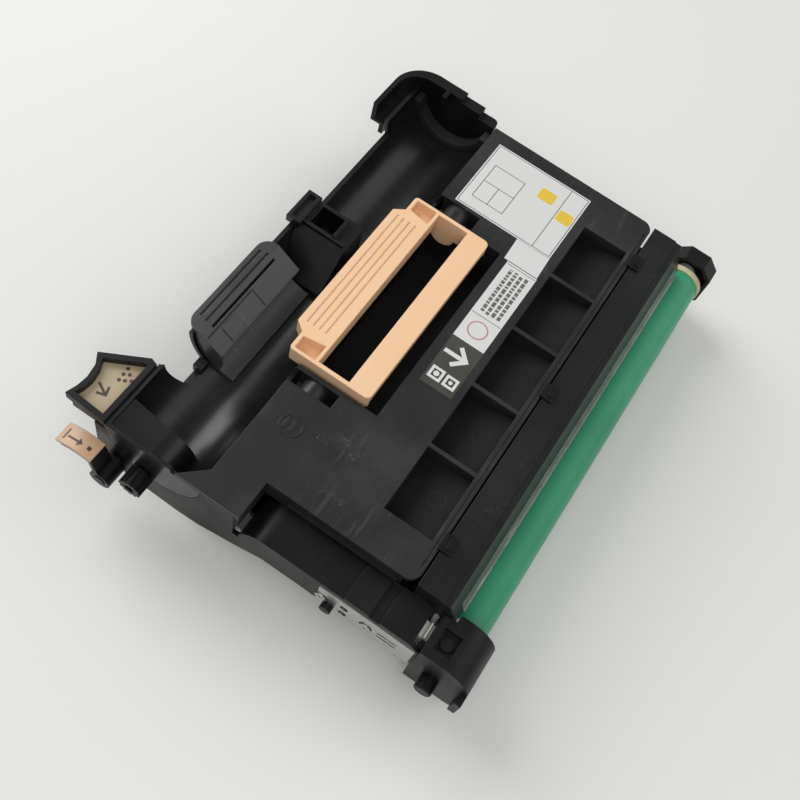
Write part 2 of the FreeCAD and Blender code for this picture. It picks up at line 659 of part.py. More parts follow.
# ================= drum =================
turned("DrumTube", drumX, drumZ,
       [(drumR - 1, drumNear), (drumR, drumNear), (drumR, drumFar), (drumR - 1, drumFar)])
give(doc.getObject("DrumTube"), "drum_tube")
phase = {}
phase["drum"] = 0.0
phase["sleeve"] = meshPhase(teethDrum, 0.0, (sleeveX - drumX).value, (sleeveZ - drumZ).value, teethSleeve)
phase["waste"] = meshPhase(teethDrum, 0.0, (wasteX - drumX).value, (wasteZ - drumZ).value, teethWaste)
phase["supply"] = meshPhase(teethSleeve, phase["sleeve"], (supplyX - sleeveX).value, (chainZ - sleeveZ).value,
                            teethSupply)
phase["mix"] = meshPhase(teethSupply, phase["supply"], -1.0, 0.0, teethMix)
phase["idleC"] = meshPhase(teethMix, phase["mix"], -1.0, 0.0, teethIdleBig)
phase["idleB"] = meshPhase(teethIdleBig, phase["idleC"], -1.0, 0.0, teethIdleSmall)
phase["idleA"] = meshPhase(teethIdleSmall, phase["idleB"], -1.0, 0.0, teethIdleBig)
phase["feed"] = meshPhase(teethIdleBig, phase["idleA"], -1.0, 0.0, teethFeed)
phase["drive"] = meshPhase(teethFeed, phase["feed"], (driveX - feedX).value, (driveZ - chainZ).value, teethDrive)


def gearAt(name, teeth, bore, x, z, key, y=None, module=1.0):
    # the phase angle runs x towards z, which is a turn about -Y
    g = gearShape(teeth, bore, gearWide.value, module)
    g.rotate(V(0, 0, 0), V(0, -1, 0), phase[key])
    return feature(g, name, x, gearNear if y is None else y, z)


drumGear = gearAt("DrumGearTeeth", teethDrum, shaftR.value + fitPlay.value, drumX, drumZ, "drum", None,
                  pairModule.value)
drumHub = turned("DrumHub", drumX, drumZ,
                 [(shaftR + fitPlay, gearNear + 4), (8, gearNear + 4), (8, drumNear - 2), (drumR + 0.5, drumNear - 2),
                  (drumR + 0.5, drumNear), (drumR - 1.05, drumNear), (drumR - 1.05, drumNear + 9),
                  (shaftR + fitPlay, drumNear + 9)])
give(join([drumGear, drumHub], "DrumGearDone"), "drum_gear_flange")
turned("DrumRing", drumX, drumZ,
       [(shaftR + fitPlay, drumFar - 8), (drumR - 1.05, drumFar - 8), (drumR - 1.05, drumFar), (drumR + 1, drumFar),
        (drumR + 1, drumFar + 3.4), (drumR, drumFar + 4.2), (shaftR + fitPlay, drumFar + 4.2)])
give(doc.getObject("DrumRing"), "drum_end_ring")
turned("DrumShaft", drumX, drumZ, [(0, nearFace), (shaftR, nearFace), (shaftR, drumFar + 15), (0, drumFar + 15)])
give(doc.getObject("DrumShaft"), "drum_shaft")
turned("NearBush", drumX, drumZ, [(0, nearFace - 7), (3.9, nearFace - 7), (4.5, nearFace - 6.4), (4.5, nearFace),
                                  (shaftR + 1, nearFace), (shaftR + 1, nearFace + 5.4), (shaftR + 0.02, nearFace + 5.4),
                                  (shaftR + 0.02, nearFace - 0.2), (0, nearFace - 0.2)])
give(doc.getObject("NearBush"), "drum_near_bush")

# ================= near bearing block =================
block = makeBody("NearBlock")
s = sketchOn(block, "XZ_Plane", nearFace, "blockSection")
outline(s, (85.6, drumZ - 17.5), [
    ("line", 108, drumZ - 17.5),
    ("arc", 114, drumZ - 11.5, 108, drumZ - 11.5, 1),
    ("line", 114, coverTop - 26),
    ("arc", 98, coverTop - 10, 98, coverTop - 26, 1),
    ("line", 85.6, coverTop - 10),
    ("line", 85.6, drumZ - 17.5)])
padUp(block, s, 24.6, "blockMass", True)
block.Tip = block.Group[-1]
blockTab = box(110.5, 114, nearFace - 5, nearFace + 2, drumZ - 6, drumZ + 8)
blockCuts = [
    box(85, 93, beamNear - play, drumNear, coverTop - 19.4, coverTop - 9),
    rod(drumX, drumZ, pairModule * 15 + 0.7, gearNear - 1, drumNear + 1),
    rod(wasteX, wasteZ, teethWaste / 2.0 + 1.3, gearNear - 1, drumNear + 1),
    rod(sleeveX, sleeveZ, pairModule * 7.5 + 0.7, gearNear - 1, drumNear + 1),
    box(89.5, 98.5, nearFace + 5, nearFace + 16, coverTop - 13.8, coverTop),
    rod(drumX, drumZ, shaftR + 1.02, nearFace - 1, nearFace + 8)]
disc = post(94, nearFace + 10.5, 3.2, coverTop - 14, coverTop - 12.6)
give(join([cut(join([block, blockTab], "blockTabbed"), blockCuts, "blockHollow"), disc], "NearBlockDone"),
     "near_bearing_block")

# ================= far bracket =================
cup = makeBody("FarCup")
s = sketchOn(cup, "XZ_Plane", drumFar + 5, "cupOutside")
polygon(s, [(85.6, 20), (92, 13), (104, 13), (111, 20), (111, 38.5), (104, 45.5), (92, 45.5), (85.6, 39)])
padUp(cup, s, 10, "cupMass", True)
s = sketchOn(cup, "XZ_Plane", drumFar + 5, "cupInside")
polygon(s, [(87.8, 21), (93, 15.2), (103, 15.2), (108.8, 21), (108.8, 37.6), (103, 43.4), (93, 43.4), (87.8, 38)])
pocketDown(cup, s, 7.5, "cupHollow")
cup.Tip = cup.Group[-1]
arm = [
    box(70, 86, drumFar + 5, drumFar + 7.5, 14, 40), box(70, 72.5, beamFar + 0.2, drumFar + 7.5, 14, 40),
    box(47, 72.5, frameFar, frameFar + 2.4, 14, 43), rod(drumX, drumZ, 5, drumFar + 14, drumFar + 17)]
cupCuts = [
    box(68.9, 73, frameFar - 1, frameFar + 2.2, 26, 44), rod(drumX, drumZ, shaftR + 0.02, drumFar + 10, drumFar + 15.2),
    rod(52, 38, 1.6, frameFar - 1, frameFar + 4), rod(62, 38, 1.6, frameFar - 1, frameFar + 4)]
give(cut(join([cup] + arm, "cupArmed"), cupCuts, "FarBracketDone"), "far_bracket")
turned("FarBush", drumX, drumZ, [(shaftR + 0.02, drumFar + 4.6), (8.4, drumFar + 4.6), (8.4, drumFar + 7), (6, drumFar + 7),
                                 (6, drumFar + 12.4), (shaftR + 0.02, drumFar + 12.4)])
give(doc.getObject("FarBush"), "drum_far_bush")

# ================= rollers =================
turned("ChargeCore", chargeX, chargeZ, [(0, beamNear - 0.5), (2.5, beamNear - 0.5), (2.5, beamFar - 1), (0, beamFar - 1)])
give(doc.getObject("ChargeCore"), "charge_roller_core")
turned("ChargeRubber", chargeX, chargeZ, [(2.52, drumNear + 6), (chargeR, drumNear + 6), (chargeR, drumFar - 9),
                                          (2.52, drumFar - 9)])
give(doc.getObject("ChargeRubber"), "charge_roller_rubber")
turned("Sleeve", sleeveX, sleeveZ, [(0, gearNear - 1), (3, gearNear - 1), (3, drumNear + 7), (sleeveR, drumNear + 7),
                                    (sleeveR, frameFar - 3.5), (3 + fitPlay, frameFar - 3.5), (3 + fitPlay, frameFar - 5.5),
                                    (sleeveR - 1, frameFar - 5.5), (sleeveR - 1, drumNear + 9), (0, drumNear + 9)])
give(doc.getObject("Sleeve"), "developer_sleeve")
turned("Magnet", sleeveX, sleeveZ, [(0, drumNear + 10), (6.5, drumNear + 10), (6.5, frameFar - 6), (3, frameFar - 6),
                                    (3, frameFar - 1.7), (0, frameFar - 1.7)])
give(doc.getObject("Magnet"), "magnet_core")

# ================= augers =================


def prism(sides, radius, length, start):
    # a flat-sided bar along +Y
    pts = []
    for k in range(sides):
        a = 2 * math.pi * (k + 0.5) / sides
        pts.append(V(radius * math.cos(a), start, radius * math.sin(a)))
    return Part.Face(Part.makePolygon(pts + [pts[0]])).extrude(V(0, length, 0))


def auger(label, x, z, core, radius, count, tilt, thick, y0, y1, flights0, flights1, paddles):
    shape = Part.makeCylinder(core, flights0 - y0, V(0, y0, 0), V(0, 1, 0))
    shape = shape.fuse(Part.makeCylinder(core, y1 - flights1, V(0, flights1, 0), V(0, 1, 0)))
    shape = shape.fuse(prism(8, core, flights1 - flights0, flights0))
    pitch = (flights1 - flights0) / count
    for k in range(count):
        if paddles:
            blade = Part.makeBox(radius * 1.7, thick, radius, V(-radius * 0.85, -thick / 2, -radius * 0.5))
        else:
            blade = prism(12, radius * 0.985, thick, -thick / 2)
        blade.rotate(V(0, 0, 0), V(1, 0, 0), tilt)
        if paddles:
            blade.rotate(V(0, 0, 0), V(0, 1, 0), 55 * k)
        blade.translate(V(0, flights0 + pitch * (k + 0.5), 0))
        shape = shape.fuse(blade)
    return give(feature(shape, label + "Screw", x, 0, z), label)


shaftStart = gearNear.value - 1
shaftEnd = frameFar.value - 1.7
auger("supply_auger", supplyX, chainZ, 2.5, 8, 10, 24, 1.3, shaftStart, shaftEnd, -114, 119, False)
auger("mixing_auger", mixX, chainZ, 2.5, 8, 12, 35, 1.5, shaftStart, shaftEnd, -114, 119, True)
auger("feed_auger", feedX, chainZ, 2.5, 8, 10, 24, 1.3, shaftStart, shaftEnd, -114, 119, False)
auger("waste_auger", wasteX, wasteZ, 1.5, 3, 10, 30, 0.9, shaftStart, beamFar.value - 1, -112, 121, False)

# ================= gears =================
give(gearAt("SleeveGear", teethSleeve, 3.02, sleeveX, sleeveZ, "sleeve", None, pairModule.value), "sleeve_gear")
give(gearAt("WasteGear", teethWaste, 1.52, wasteX, wasteZ, "waste"), "waste_gear")
give(gearAt("SupplyGear", teethSupply, 2.52, supplyX, chainZ, "supply"), "supply_gear")
give(gearAt("MixGear", teethMix, 2.52, mixX, chainZ, "mix"), "mixing_gear")
give(gearAt("IdlerC", teethIdleBig, 2.55, idleCX, chainZ, "idleC"), "idler_gear_right")
give(gearAt("IdlerB", teethIdleSmall, 2.55, idleBX, chainZ, "idleB"), "idler_gear_middle")
give(gearAt("IdlerA", teethIdleBig, 2.55, idleAX, chainZ, "idleA"), "idler_gear_left")
give(gearAt("FeedGear", teethFeed, 2.52, feedX, chainZ, "feed"), "feed_gear")
driveTeeth = gearAt("DriveTeeth", teethDrive, 0, driveX, driveZ, "drive")
ribPts = []
for k in range(12):
    for r, half in ((5.2, -0.62), (6.0, -0.5), (6.0, 0.5), (5.2, 0.62)):
        a = math.radians(30 * k) + half / r
        ribPts.append(V(r * math.cos(a), 0, r * math.sin(a)))
ribbed = Part.Face(Part.makePolygon(ribPts + [ribPts[0]])).extrude(V(0, 9.5, 0))
ribbed = ribbed.cut(Part.makeCylinder(2.6, 4, V(0, -1, 0), V(0, 1, 0)))
knob = feature(ribbed, "RibbedKnob", driveX, nearFace - 10, driveZ)
give(join([driveTeeth, knob, rod(driveX, driveZ, 3, nearFace - 3, nearFace + 17.2)], "DriveCoupling"), "drive_coupling")

# ================= near end cover =================
face = makeBody("EndCover")
s = sketchOn(face, "XZ_Plane", nearFace, "coverFace")
gapR = rim + play
outline(s, (bayX + root(gapR * gapR - 2.7 * 2.7), coverTop - 2.7), [
    ("line", -13, coverTop - 2.7),
    ("line", -13, coverTop - 24),
    ("line", -10, coverTop - 24),
    ("arc", 4, coverTop - 10, 4, coverTop - 24, -1),
    ("line", 81, coverTop - 10),
    ("line", 85.3, coverTop - 13),
    ("line", 85.3, 30),
    ("line", 24, 31),
    ("line", 4, 31),
    ("line", -11, 25),
    ("line", -32, 18),
    ("line", -45, 17),
    ("line", outSide - 84, 20),
    ("line", outSide - 89, 27),
    ("line", outSide - 89, coverTop - 4.6),
    ("line", bayX - root(gapR * gapR - 4.6 * 4.6), coverTop - 4.6),
    ("arc", bayX + root(gapR * gapR - 2.7 * 2.7), coverTop - 2.7, bayX, coverTop, 1)])
padUp(face, s, 2.4, "facePlate", True)
face.Tip = face.Group[-1]
doc.recompute()
hump = overlap(cut(rod(4, coverTop - 24, 14, nearFace, coverNear - play),
                   [rod(4, coverTop - 24, 12.6, nearFace - 1, coverNear)]),
               box(-11, 4, nearFace - 1, coverNear, coverTop - 24, coverTop - 9))
faceParts = [
    hump, box(4, 81, nearFace, coverNear - play, coverTop - 11.4, coverTop - 10),
    box(83.3, 85.3, nearFace, gearNear - 1.2, 30, coverTop - 13),
    box(46, 59, nearFace, coverNear - play, coverTop - 11, coverTop - 8.6),
    box(64.5, 81, nearFace, coverNear - play, coverTop - 11, coverTop - 9.2),
    rod(leverX, leverZ, 3, nearFace - 13.4, nearFace + 1),
    rod(leverX, leverZ, 3.6, nearFace - 0.8, nearFace + 1)]
faceCuts = [
    box(59, 64.5, nearFace - 1, coverNear - 1, coverTop - 10.8, coverTop),
    rod(36, 40, 1.6, nearFace - 1, nearFace + 4), rod(60, 40, 1.6, nearFace - 1, nearFace + 4),
    rod(driveX, driveZ, 3.4, nearFace - 1, nearFace + 4)]
give(cut(join([face] + faceParts, "faceWalls"), faceCuts, "NearEndCoverDone"), "near_end_cover")

plateBody = strip("ContactPlate", "", [(34, 31.5), (84, 30.8), (84, coverTop - 13), (64.5, coverTop - 12.5),
                                       (34, coverTop - 12.5)], nearFace - 0.8, nearFace)
plateHoles = [
    rod(36, 40, 3.4, nearFace - 2, nearFace + 1), rod(60, 40, 3.4, nearFace - 2, nearFace + 1),
    box(66, 76, nearFace - 2, nearFace + 1, 37, 39), box(66, 76, nearFace - 2, nearFace + 1, 41, 43),
    rod(48, 36, 2.2, nearFace - 2, nearFace + 1), rod(48, 43, 2.2, nearFace - 2, nearFace + 1)]
give(cut(plateBody, plateHoles, "ContactPlateDone"), "contact_plate")
give(rod(40.7, 34.6, 2.9, nearFace - 4, nearFace - 0.8, "ContactBoss"), "contact_boss")
give(box(-88, -74, nearFace - 0.7, nearFace, 21.6, 24, "GroundStrip"), "ground_strip")

# ================= far end hood and trough liner =================
hood = makeBody("EndHood")
s = sketchOn(hood, "XY_Plane", coverTop + 7, "hoodPlan")
outline(s, (outSide - 92, 90), [
    ("line", outSide - 89.4, 90),
    ("line", outSide - 89.4, 110),
    ("arc", outSide - 75.2, 124.2, outSide - 75.2, 110, -1),
    ("line", -34, 124.2),
    ("line", -34, 127.6),
    ("arc", -37, 130.6, -37, 127.6, 1),
    ("line", outSide - 73, 130.6),
    ("arc", outSide - 92, 111.6, outSide - 73, 111.6, 1),
    ("line", outSide - 92, 90)])
padUp(hood, s, 36, "hoodMass", True)
hood.Tip = hood.Group[-1]
hoodCuts = [
    box(-56, -30, 123, 132, coverTop + 4.6, coverTop + 9), box(-44, -30, 123, 132, coverTop + 1, coverTop + 9),
    box(outSide - 93, outSide - 88, 89, 104, coverTop - 30, coverTop - 6),
    overlap(rod(bayX, coverTop, rim + play, 80, bayFar + 0.1), box(-100, 0, 80, 130, 0, coverTop + 0.3))]
hoodAdds = [
    box(outSide - 91, bayX - rim - play, 90, 112, coverTop - 6, coverTop - 4),
    box(-66, -63.6, 118, 125, coverTop + 2, coverTop + 8)]
give(join([cut(hood, hoodCuts, "hoodCut")] + hoodAdds, "EndHoodDone"), "end_hood")
linerRing = cut(rod(bayX, coverTop, bayR - play, bayFar - 7, bayFar), [rod(bayX, coverTop, bayR - 4, bayFar - 8, bayFar + 1)])
give(cut(linerRing, [box(-100, 0, bayFar - 9, bayFar + 2, coverTop - 4, coverTop + 30)], "EndLiner"), "end_liner")

# ================= grip panel on the trough wall =================
panelRing = cut(rod(bayX, coverTop, bayR - play, gripNear, gripFar), [rod(bayX, coverTop, bayR - 2.4, gripNear - 1, gripFar + 1)])
panelQuarter = overlap(panelRing, box(bayX - 30, bayX - 1, gripNear - 1, gripFar + 1, coverTop - 30, coverTop))
lip = makeBody("PanelLip")
s = sketchOn(lip, "XY_Plane", coverTop + 2.2, "lipPlan")
outline(s, (inSide - 79.2, gripNear), [
    ("line", inSide - 79.2, gripFar),
    ("line", inSide - 80, gripFar),
    ("arc", inSide - 87, gripFar - 7, inSide - 80, gripFar - 7, 1),
    ("line", inSide - 87, gripNear + 7),
    ("arc", inSide - 80, gripNear, inSide - 80, gripNear + 7, 1),
    ("line", inSide - 79.2, gripNear)])
padUp(lip, s, 2, "lipMass", True)
lip.Tip = lip.Group[-1]
panelJoin = overlap(cut(rod(bayX, coverTop, bayR - play, gripNear + 2, gripFar - 2),
                        [rod(bayX, coverTop, bayR - 2.4, gripNear, gripFar)]),
                    box(bayX - 30, bayX - 20, gripNear, gripFar, coverTop - 2, coverTop + 1.5))
slope = makeBody("PanelSlope")
s = sketchOn(slope, "XZ_Plane", gripNear, "slopeSection")
polygon(s, [(inSide - 82, coverTop + 2.2), (inSide - 82, coverTop + 0.2), (inSide - 79.4, coverTop + 0.2),
            (inSide - 66.6, coverTop - 8.4), (inSide - 65.4, coverTop - 6.7), (inSide - 78.8, coverTop + 2.2)])
padUp(slope, s, gripFar - gripNear, "slopeMass", True)
slope.Tip = slope.Group[-1]
ribs = makeBody("PanelRibs")
s = sketchOn(ribs, "XZ_Plane", gripNear, "ribSection")
polygon(s, [(inSide - 79.6, coverTop), (inSide - 79.6, coverTop - 8), (inSide - 67.5, coverTop - 20),
            (inSide - 66, coverTop - 19), (inSide - 66, coverTop - 8)])
padUp(ribs, s, 2, "ribNear", True)
ribs.Tip = ribs.Group[-1]
panelSlots = [
    box(inSide - 84.6, inSide - 83.4, gripNear + 8, gripFar - 8, coverTop + 1.1, coverTop + 4),
    box(inSide - 80.8, inSide - 79.6, gripNear + 7, gripFar - 7, coverTop + 1.1, coverTop + 4),
    box(inSide - 77, inSide - 75.8, gripNear + 7, gripFar - 7, coverTop - 4, coverTop + 4)]
latch = makeBody("PanelLatch")
s = sketchOn(latch, "XZ_Plane", gripNear + 10, "latchSection")
polygon(s, [(inSide - 74, coverTop - 2.4), (inSide - 67, coverTop - 7.2), (inSide - 66, coverTop - 5.6),
            (inSide - 73, coverTop - 0.8)])
padUp(latch, s, 10, "latchMass", True)
latch.Tip = latch.Group[-1]
panelBlank = cut(join([panelQuarter, lip, panelJoin, slope, ribs], "panelWalls"), panelSlots, "panelSlotted")
give(join([panelBlank, latch], "GripPanelDone"), "grip_panel")

# ================= toner inlet block and its shutter =================
ramp = makeBody("InletBlock")
s = sketchOn(ramp, "YZ_Plane", inSide - 83, "rampSection")
polygon(s, [(blockFar, coverTop), (5.5, coverTop), (-12.8, coverTop - 20), (-12.8, coverTop - bayR),
            (blockFar, coverTop - bayR)])
padUp(ramp, s, bayR + 6.2, "rampMass")
ramp.Tip = ramp.Group[-1]
doc.recompute()
rampIn = overlap(ramp, rod(bayX, coverTop, bayR - play, -14, 34))
inletAdds = [
    box(inSide - 86, inSide - 78, 2, 22, coverTop, coverTop + 4.4),
    box(inSide - 79, inSide - 54, 5.5, 7.5, coverTop - 1, coverTop + 2.2),
    box(-61.5, -59.7, 7, 21, coverTop - 1, coverTop + 3.4)]
inletCuts = [
    box(-76, -62, 9, 21, coverTop - 15.8, coverTop + 6), box(-70, -62, 9, 25, coverTop - 18, coverTop - 15.8),
    box(-67.4, -64.6, 20, 25, coverTop - 16, coverTop - 14),
    box(inSide - 84, inSide - 80, 4, 20, coverTop + 2.2, coverTop + 6)]
give(cut(join([rampIn] + inletAdds, "inletWalls"), inletCuts, "InletBlockDone"), "inlet_block")
shutterPlate = box(-69.8, -62.2, 9.3, 22.4, coverTop - 17.9, coverTop - 16.3)
shutterRib = box(-67, -65, 18, 19.4, coverTop - 17, coverTop - 14.5)
give(join([shutterPlate, shutterRib], "InletShutter"), "inlet_shutter")
give(box(outSide - 76, outSide - 71, gripNear - 8, gripNear - 2.5, coverTop - 19, coverTop - 14, "RimClip"), "rim_clip")

# ================= label tray and lock lever =================
tray = makeBody("LabelTray")
s = sketchOn(tray, "XY_Plane", coverTop + 1.5, "trayPlan")
trayRim = [(-105.7, -136.6), (-83.6, -137.8), (-83.6, -101.5), (-87, -100.4), (-108, -112.6), (-104.6, -118),
           (-103.4, -125), (-104, -131)]
polygon(s, [(outSide + x, y) for x, y in trayRim])
padUp(tray, s, 5, "trayMass", True)
s = sketchOn(tray, "XY_Plane", coverTop + 1.5, "trayRecess")
trayInside = [(-102.6, -133.8), (-86.4, -134.8), (-86.4, -104.2), (-88, -104.4), (-104, -113.6), (-101.6, -119),
              (-100.6, -125), (-101.2, -130)]
trayInside = [(outSide + x, y) for x, y in trayInside]
polygon(s, trayInside)
pocketDown(tray, s, 4, "trayFloor")
tray.Tip = tray.Group[-1]
trayWalls = [
    box(outSide - 86.2, outSide - 83.6, -135.4, -104, coverTop - 20, coverTop - 3),
    box(outSide - 104, outSide - 84, -135.2, -132.8, coverTop - 12, coverTop - 3)]
give(join([tray] + trayWalls, "LabelTrayDone"), "label_tray")


def sheetPad(name, label, pts, z, thick):
    b = makeBody(name)
    sk = sketchOn(b, "XY_Plane", z, name + "Plan")
    polygon(sk, pts)
    padUp(b, sk, thick, name + "Sheet")
    b.Tip = b.Group[-1]
    return give(b, label)


sheetPad("TrayLabel", "tray_label", trayInside, coverTop - 2.5, 0.15)
sheetPad("LabelMain", "label_main", [(-26, 70), (32.5, 70), (32.5, 118), (-26, 118)], coverTop, 0.15)
sheetPad("LabelBlank", "label_blank", [(13.4, 55), (33.2, 55), (32.6, 69.8), (12.8, 69.8)], coverTop, 0.15)
sheetPad("LabelStrip", "label_strip", [(15.8, -0.4), (33.6, -0.4), (33.6, 54.8), (15.8, 54.8)], coverTop, 0.15)
sheetPad("LabelDark", "label_dark", [(15.8, -31.8), (33.8, -31.8), (33.8, -0.6), (15.8, -0.6)], coverTop, 0.15)

lever = makeBody("LockLever")
s = sketchOn(lever, "XZ_Plane", nearFace - 13, "leverArm")
outline(s, (-99, 44.2), [
    ("line", -98.4, 42.6),
    ("arc", -83, 44.528, -88, 22, -1),
    ("line", -80.5, 34),
    ("line", -78, 34),
    ("line", -81, 45.766),
    ("arc", -99, 44.2, -88, 22, 1)])
padUp(lever, s, 10, "leverBlade", True)
lever.Tip = lever.Group[-1]
tab = makeBody("LeverTab")
s = sketchOn(tab, "XZ_Plane", nearFace - 13.2, "tabSection")
tabOut = 26.6
tabIn = root((asSize(-99) + 88) * (asSize(-99) + 88) + (asSize(44.2) - 22) * (asSize(44.2) - 22)) + 0.05
outline(s, (asSize(-88) - tabOut * 0.5, asSize(22) + tabOut * 0.866025), [
    ("line", asSize(-88) - tabIn * 0.5, asSize(22) + tabIn * 0.866025),
    ("arc", asSize(-88) + tabIn * 0.2588, asSize(22) + tabIn * 0.9659, -88, 22, -1),
    ("line", asSize(-88) + tabOut * 0.2588, asSize(22) + tabOut * 0.9659),
    ("arc", asSize(-88) - tabOut * 0.5, asSize(22) + tabOut * 0.866025, -88, 22, 1)])
padUp(tab, s, 10.4, "tabSheet", True)
tab.Tip = tab.Group[-1]
give(tab, "lever_tab")
doc.recompute()
hub = rod(leverX, leverZ, 5.5, nearFace - 13, nearFace - 1)
give(cut(join([lever, hub], "leverHubbed"), [rod(leverX, leverZ, 3 + fitPlay, nearFace - 15, nearFace)], "LockLeverDone"),
     "lock_lever")

# ================= clips and screws =================
clipSolids = []
for at in (-93.7, 1.3, 98):
    body = Part.makeBox(6.6, 9, 1.2, V(67.2, at - 4.5, 62))
    bump = Part.makeBox(2.4, 5, 1.0, V(70.4, at - 2.5, 63))
    clipSolids.append(body.fuse(bump).removeSplitter())
give(feature(Part.makeCompound(clipSolids), "SnapClips", coverRight - 68, 0, coverTop - 62), "snap_clips")


def screw(x, y, z, out):
    head = prism(16, 2.8, out * 1.6, 0)
    head.translate(V(x, y, z))
    recess = Part.makeBox(3.4, 1.0, 0.8, V(x - 1.7, y + (0.7 if out > 0 else -1.7), z - 0.4))
    recess2 = Part.makeBox(0.8, 1.0, 3.4, V(x - 0.4, y + (0.7 if out > 0 else -1.7), z - 1.7))
    shank = prism(10, 1.5, -out * 6.0, 0)
    shank.translate(V(x, y, z))
    return head.cut(recess).cut(recess2).fuse(shank).removeSplitter()


screwSolids = [screw(36, -138, 40, -1), screw(60, -138, 40, -1), screw(52, 126.4, 38, 1), screw(62, 126.4, 38, 1)]
give(feature(Part.makeCompound(screwSolids), "Screws", 0, 0, 0), "screws")

doc.recompute()
bad = [o.Name for o in doc.Objects if "Invalid" in o.State or "Error" in o.State]
if bad:
    raise RuntimeError("not built: " + ", ".join(bad))
os.makedirs("parts", exist_ok=True)
for obj, name in nodes:
    shape = obj.Shape
    if shape.isNull() or not shape.isValid():
        raise RuntimeError("bad shape: " + name)
    b = shape.BoundBox
    print("%-24s solids %d  x %.1f %.1f  y %.1f %.1f  z %.1f %.1f  vol %d" % (
        name, len(shape.Solids), b.XMin, b.XMax, b.YMin, b.YMax, b.ZMin, b.ZMax, shape.Volume))
    shape.exportStep("parts/" + name + ".step")
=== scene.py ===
import bpy
import json
import math
import random
from mathutils import Matrix, Vector


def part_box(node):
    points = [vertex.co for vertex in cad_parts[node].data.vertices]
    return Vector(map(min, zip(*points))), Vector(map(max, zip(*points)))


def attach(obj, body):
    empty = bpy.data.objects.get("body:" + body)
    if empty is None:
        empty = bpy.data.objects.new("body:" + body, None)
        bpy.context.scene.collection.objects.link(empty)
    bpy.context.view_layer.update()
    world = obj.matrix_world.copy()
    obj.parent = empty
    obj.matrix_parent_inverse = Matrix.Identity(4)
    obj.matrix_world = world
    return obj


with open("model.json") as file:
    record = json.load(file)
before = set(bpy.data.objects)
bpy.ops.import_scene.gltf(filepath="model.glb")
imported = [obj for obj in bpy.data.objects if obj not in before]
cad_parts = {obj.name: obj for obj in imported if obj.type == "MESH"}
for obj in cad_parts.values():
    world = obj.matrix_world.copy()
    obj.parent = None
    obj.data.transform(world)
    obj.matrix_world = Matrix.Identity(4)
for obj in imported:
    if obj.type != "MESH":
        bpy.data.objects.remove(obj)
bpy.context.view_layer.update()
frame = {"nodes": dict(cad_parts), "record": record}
print("frame loaded:", len(frame["nodes"]), "nodes")

mm = 0.001
scene = bpy.context.scene

# the camera: place and nearest in metres, lens and sensor in mm
view = {
    "place": (0.06766, -0.27419, 0.49369),
    "right": (0.8269, 0.5331, 0.1789),
    "up": (-0.5517, 0.7080, 0.4406),
    "back": (0.1082, -0.4631, 0.8796),
    "lens": 47.25,
    "sensor": 36,
    "nearest": 0.01,
}
camData = bpy.data.cameras.new("viewCamera")
camData.lens = view["lens"]
camData.sensor_width = view["sensor"]
camData.clip_start = view["nearest"]
cam = bpy.data.objects.new("viewCamera", camData)
scene.collection.objects.link(cam)
columns = [view[key] for key in ("right", "up", "back", "place")]
cam.matrix_world = Matrix([[column[row] for column in columns] for row in range(3)] + [[0, 0, 0, 1]])
scene.camera = cam
scene.view_settings.view_transform = "Standard"


def newMaterial(name):
    mat = bpy.data.materials.new(name)
    mat.use_nodes = True
    tree = mat.node_tree
    tree.nodes.clear()
    out = tree.nodes.new("ShaderNodeOutputMaterial")
    shader = tree.nodes.new("ShaderNodeBsdfPrincipled")
    tree.links.new(shader.outputs["BSDF"], out.inputs["Surface"])
    return mat, tree, shader


def meshPiece(name, verts, faces, material, body):
    data = bpy.data.meshes.new(name)
    data.from_pydata([Vector(v) for v in verts], [], faces)
    data.validate()
    data.update()
    data.materials.append(material)
    obj = bpy.data.objects.new(name, data)
    scene.collection.objects.link(obj)
    if body:
        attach(obj, body)
    return obj


# small builders that the shader groups and the materials share
def newGroup(name, inputs, outputs):
    group = bpy.data.node_groups.new(name, "ShaderNodeTree")
    for label, kind, value in inputs:
        sock = group.interface.new_socket(name=label, in_out="INPUT", socket_type=kind)
        sock.default_value = value
    for label, kind in outputs:
        group.interface.new_socket(name=label, in_out="OUTPUT", socket_type=kind)
    first = group.nodes.new("NodeGroupInput")
    last = group.nodes.new("NodeGroupOutput")
    return group, first, last


def feed(tree, socket, value):
    # a plain number or colour is set on the socket, and a socket is linked to it
    if isinstance(value, (int, float, tuple)):
        socket.default_value = value
    else:
        tree.links.new(value, socket)


def addNoise(tree, vector, scale, detail, rough=0.55):
    node = tree.nodes.new("ShaderNodeTexNoise")
    node.inputs["Detail"].default_value = detail
    node.inputs["Roughness"].default_value = rough
    feed(tree, node.inputs["Vector"], vector)
    feed(tree, node.inputs["Scale"], scale)
    return node.outputs["Fac"]


def addRange(tree, value, ends, toLow=0.0, toHigh=1.0):
    node = tree.nodes.new("ShaderNodeMapRange")
    node.inputs["From Min"].default_value = ends[0]
    node.inputs["From Max"].default_value = ends[1]
    feed(tree, node.inputs["To Min"], toLow)
    feed(tree, node.inputs["To Max"], toHigh)
    feed(tree, node.inputs["Value"], value)
    return node.outputs["Result"]


def addMath(tree, kind, a, b):
    node = tree.nodes.new("ShaderNodeMath")
    node.operation = kind
    feed(tree, node.inputs[0], a)
    feed(tree, node.inputs[1], b)
    return node.outputs[0]


def addMix(tree, factor, a, b):
    # inputs 6 and 7 and output 2 are the node's colour sockets
    node = tree.nodes.new("ShaderNodeMix")
    node.data_type = "RGBA"
    feed(tree, node.inputs[0], factor)
    feed(tree, node.inputs[6], a)
    feed(tree, node.inputs[7], b)
    return node.outputs[2]


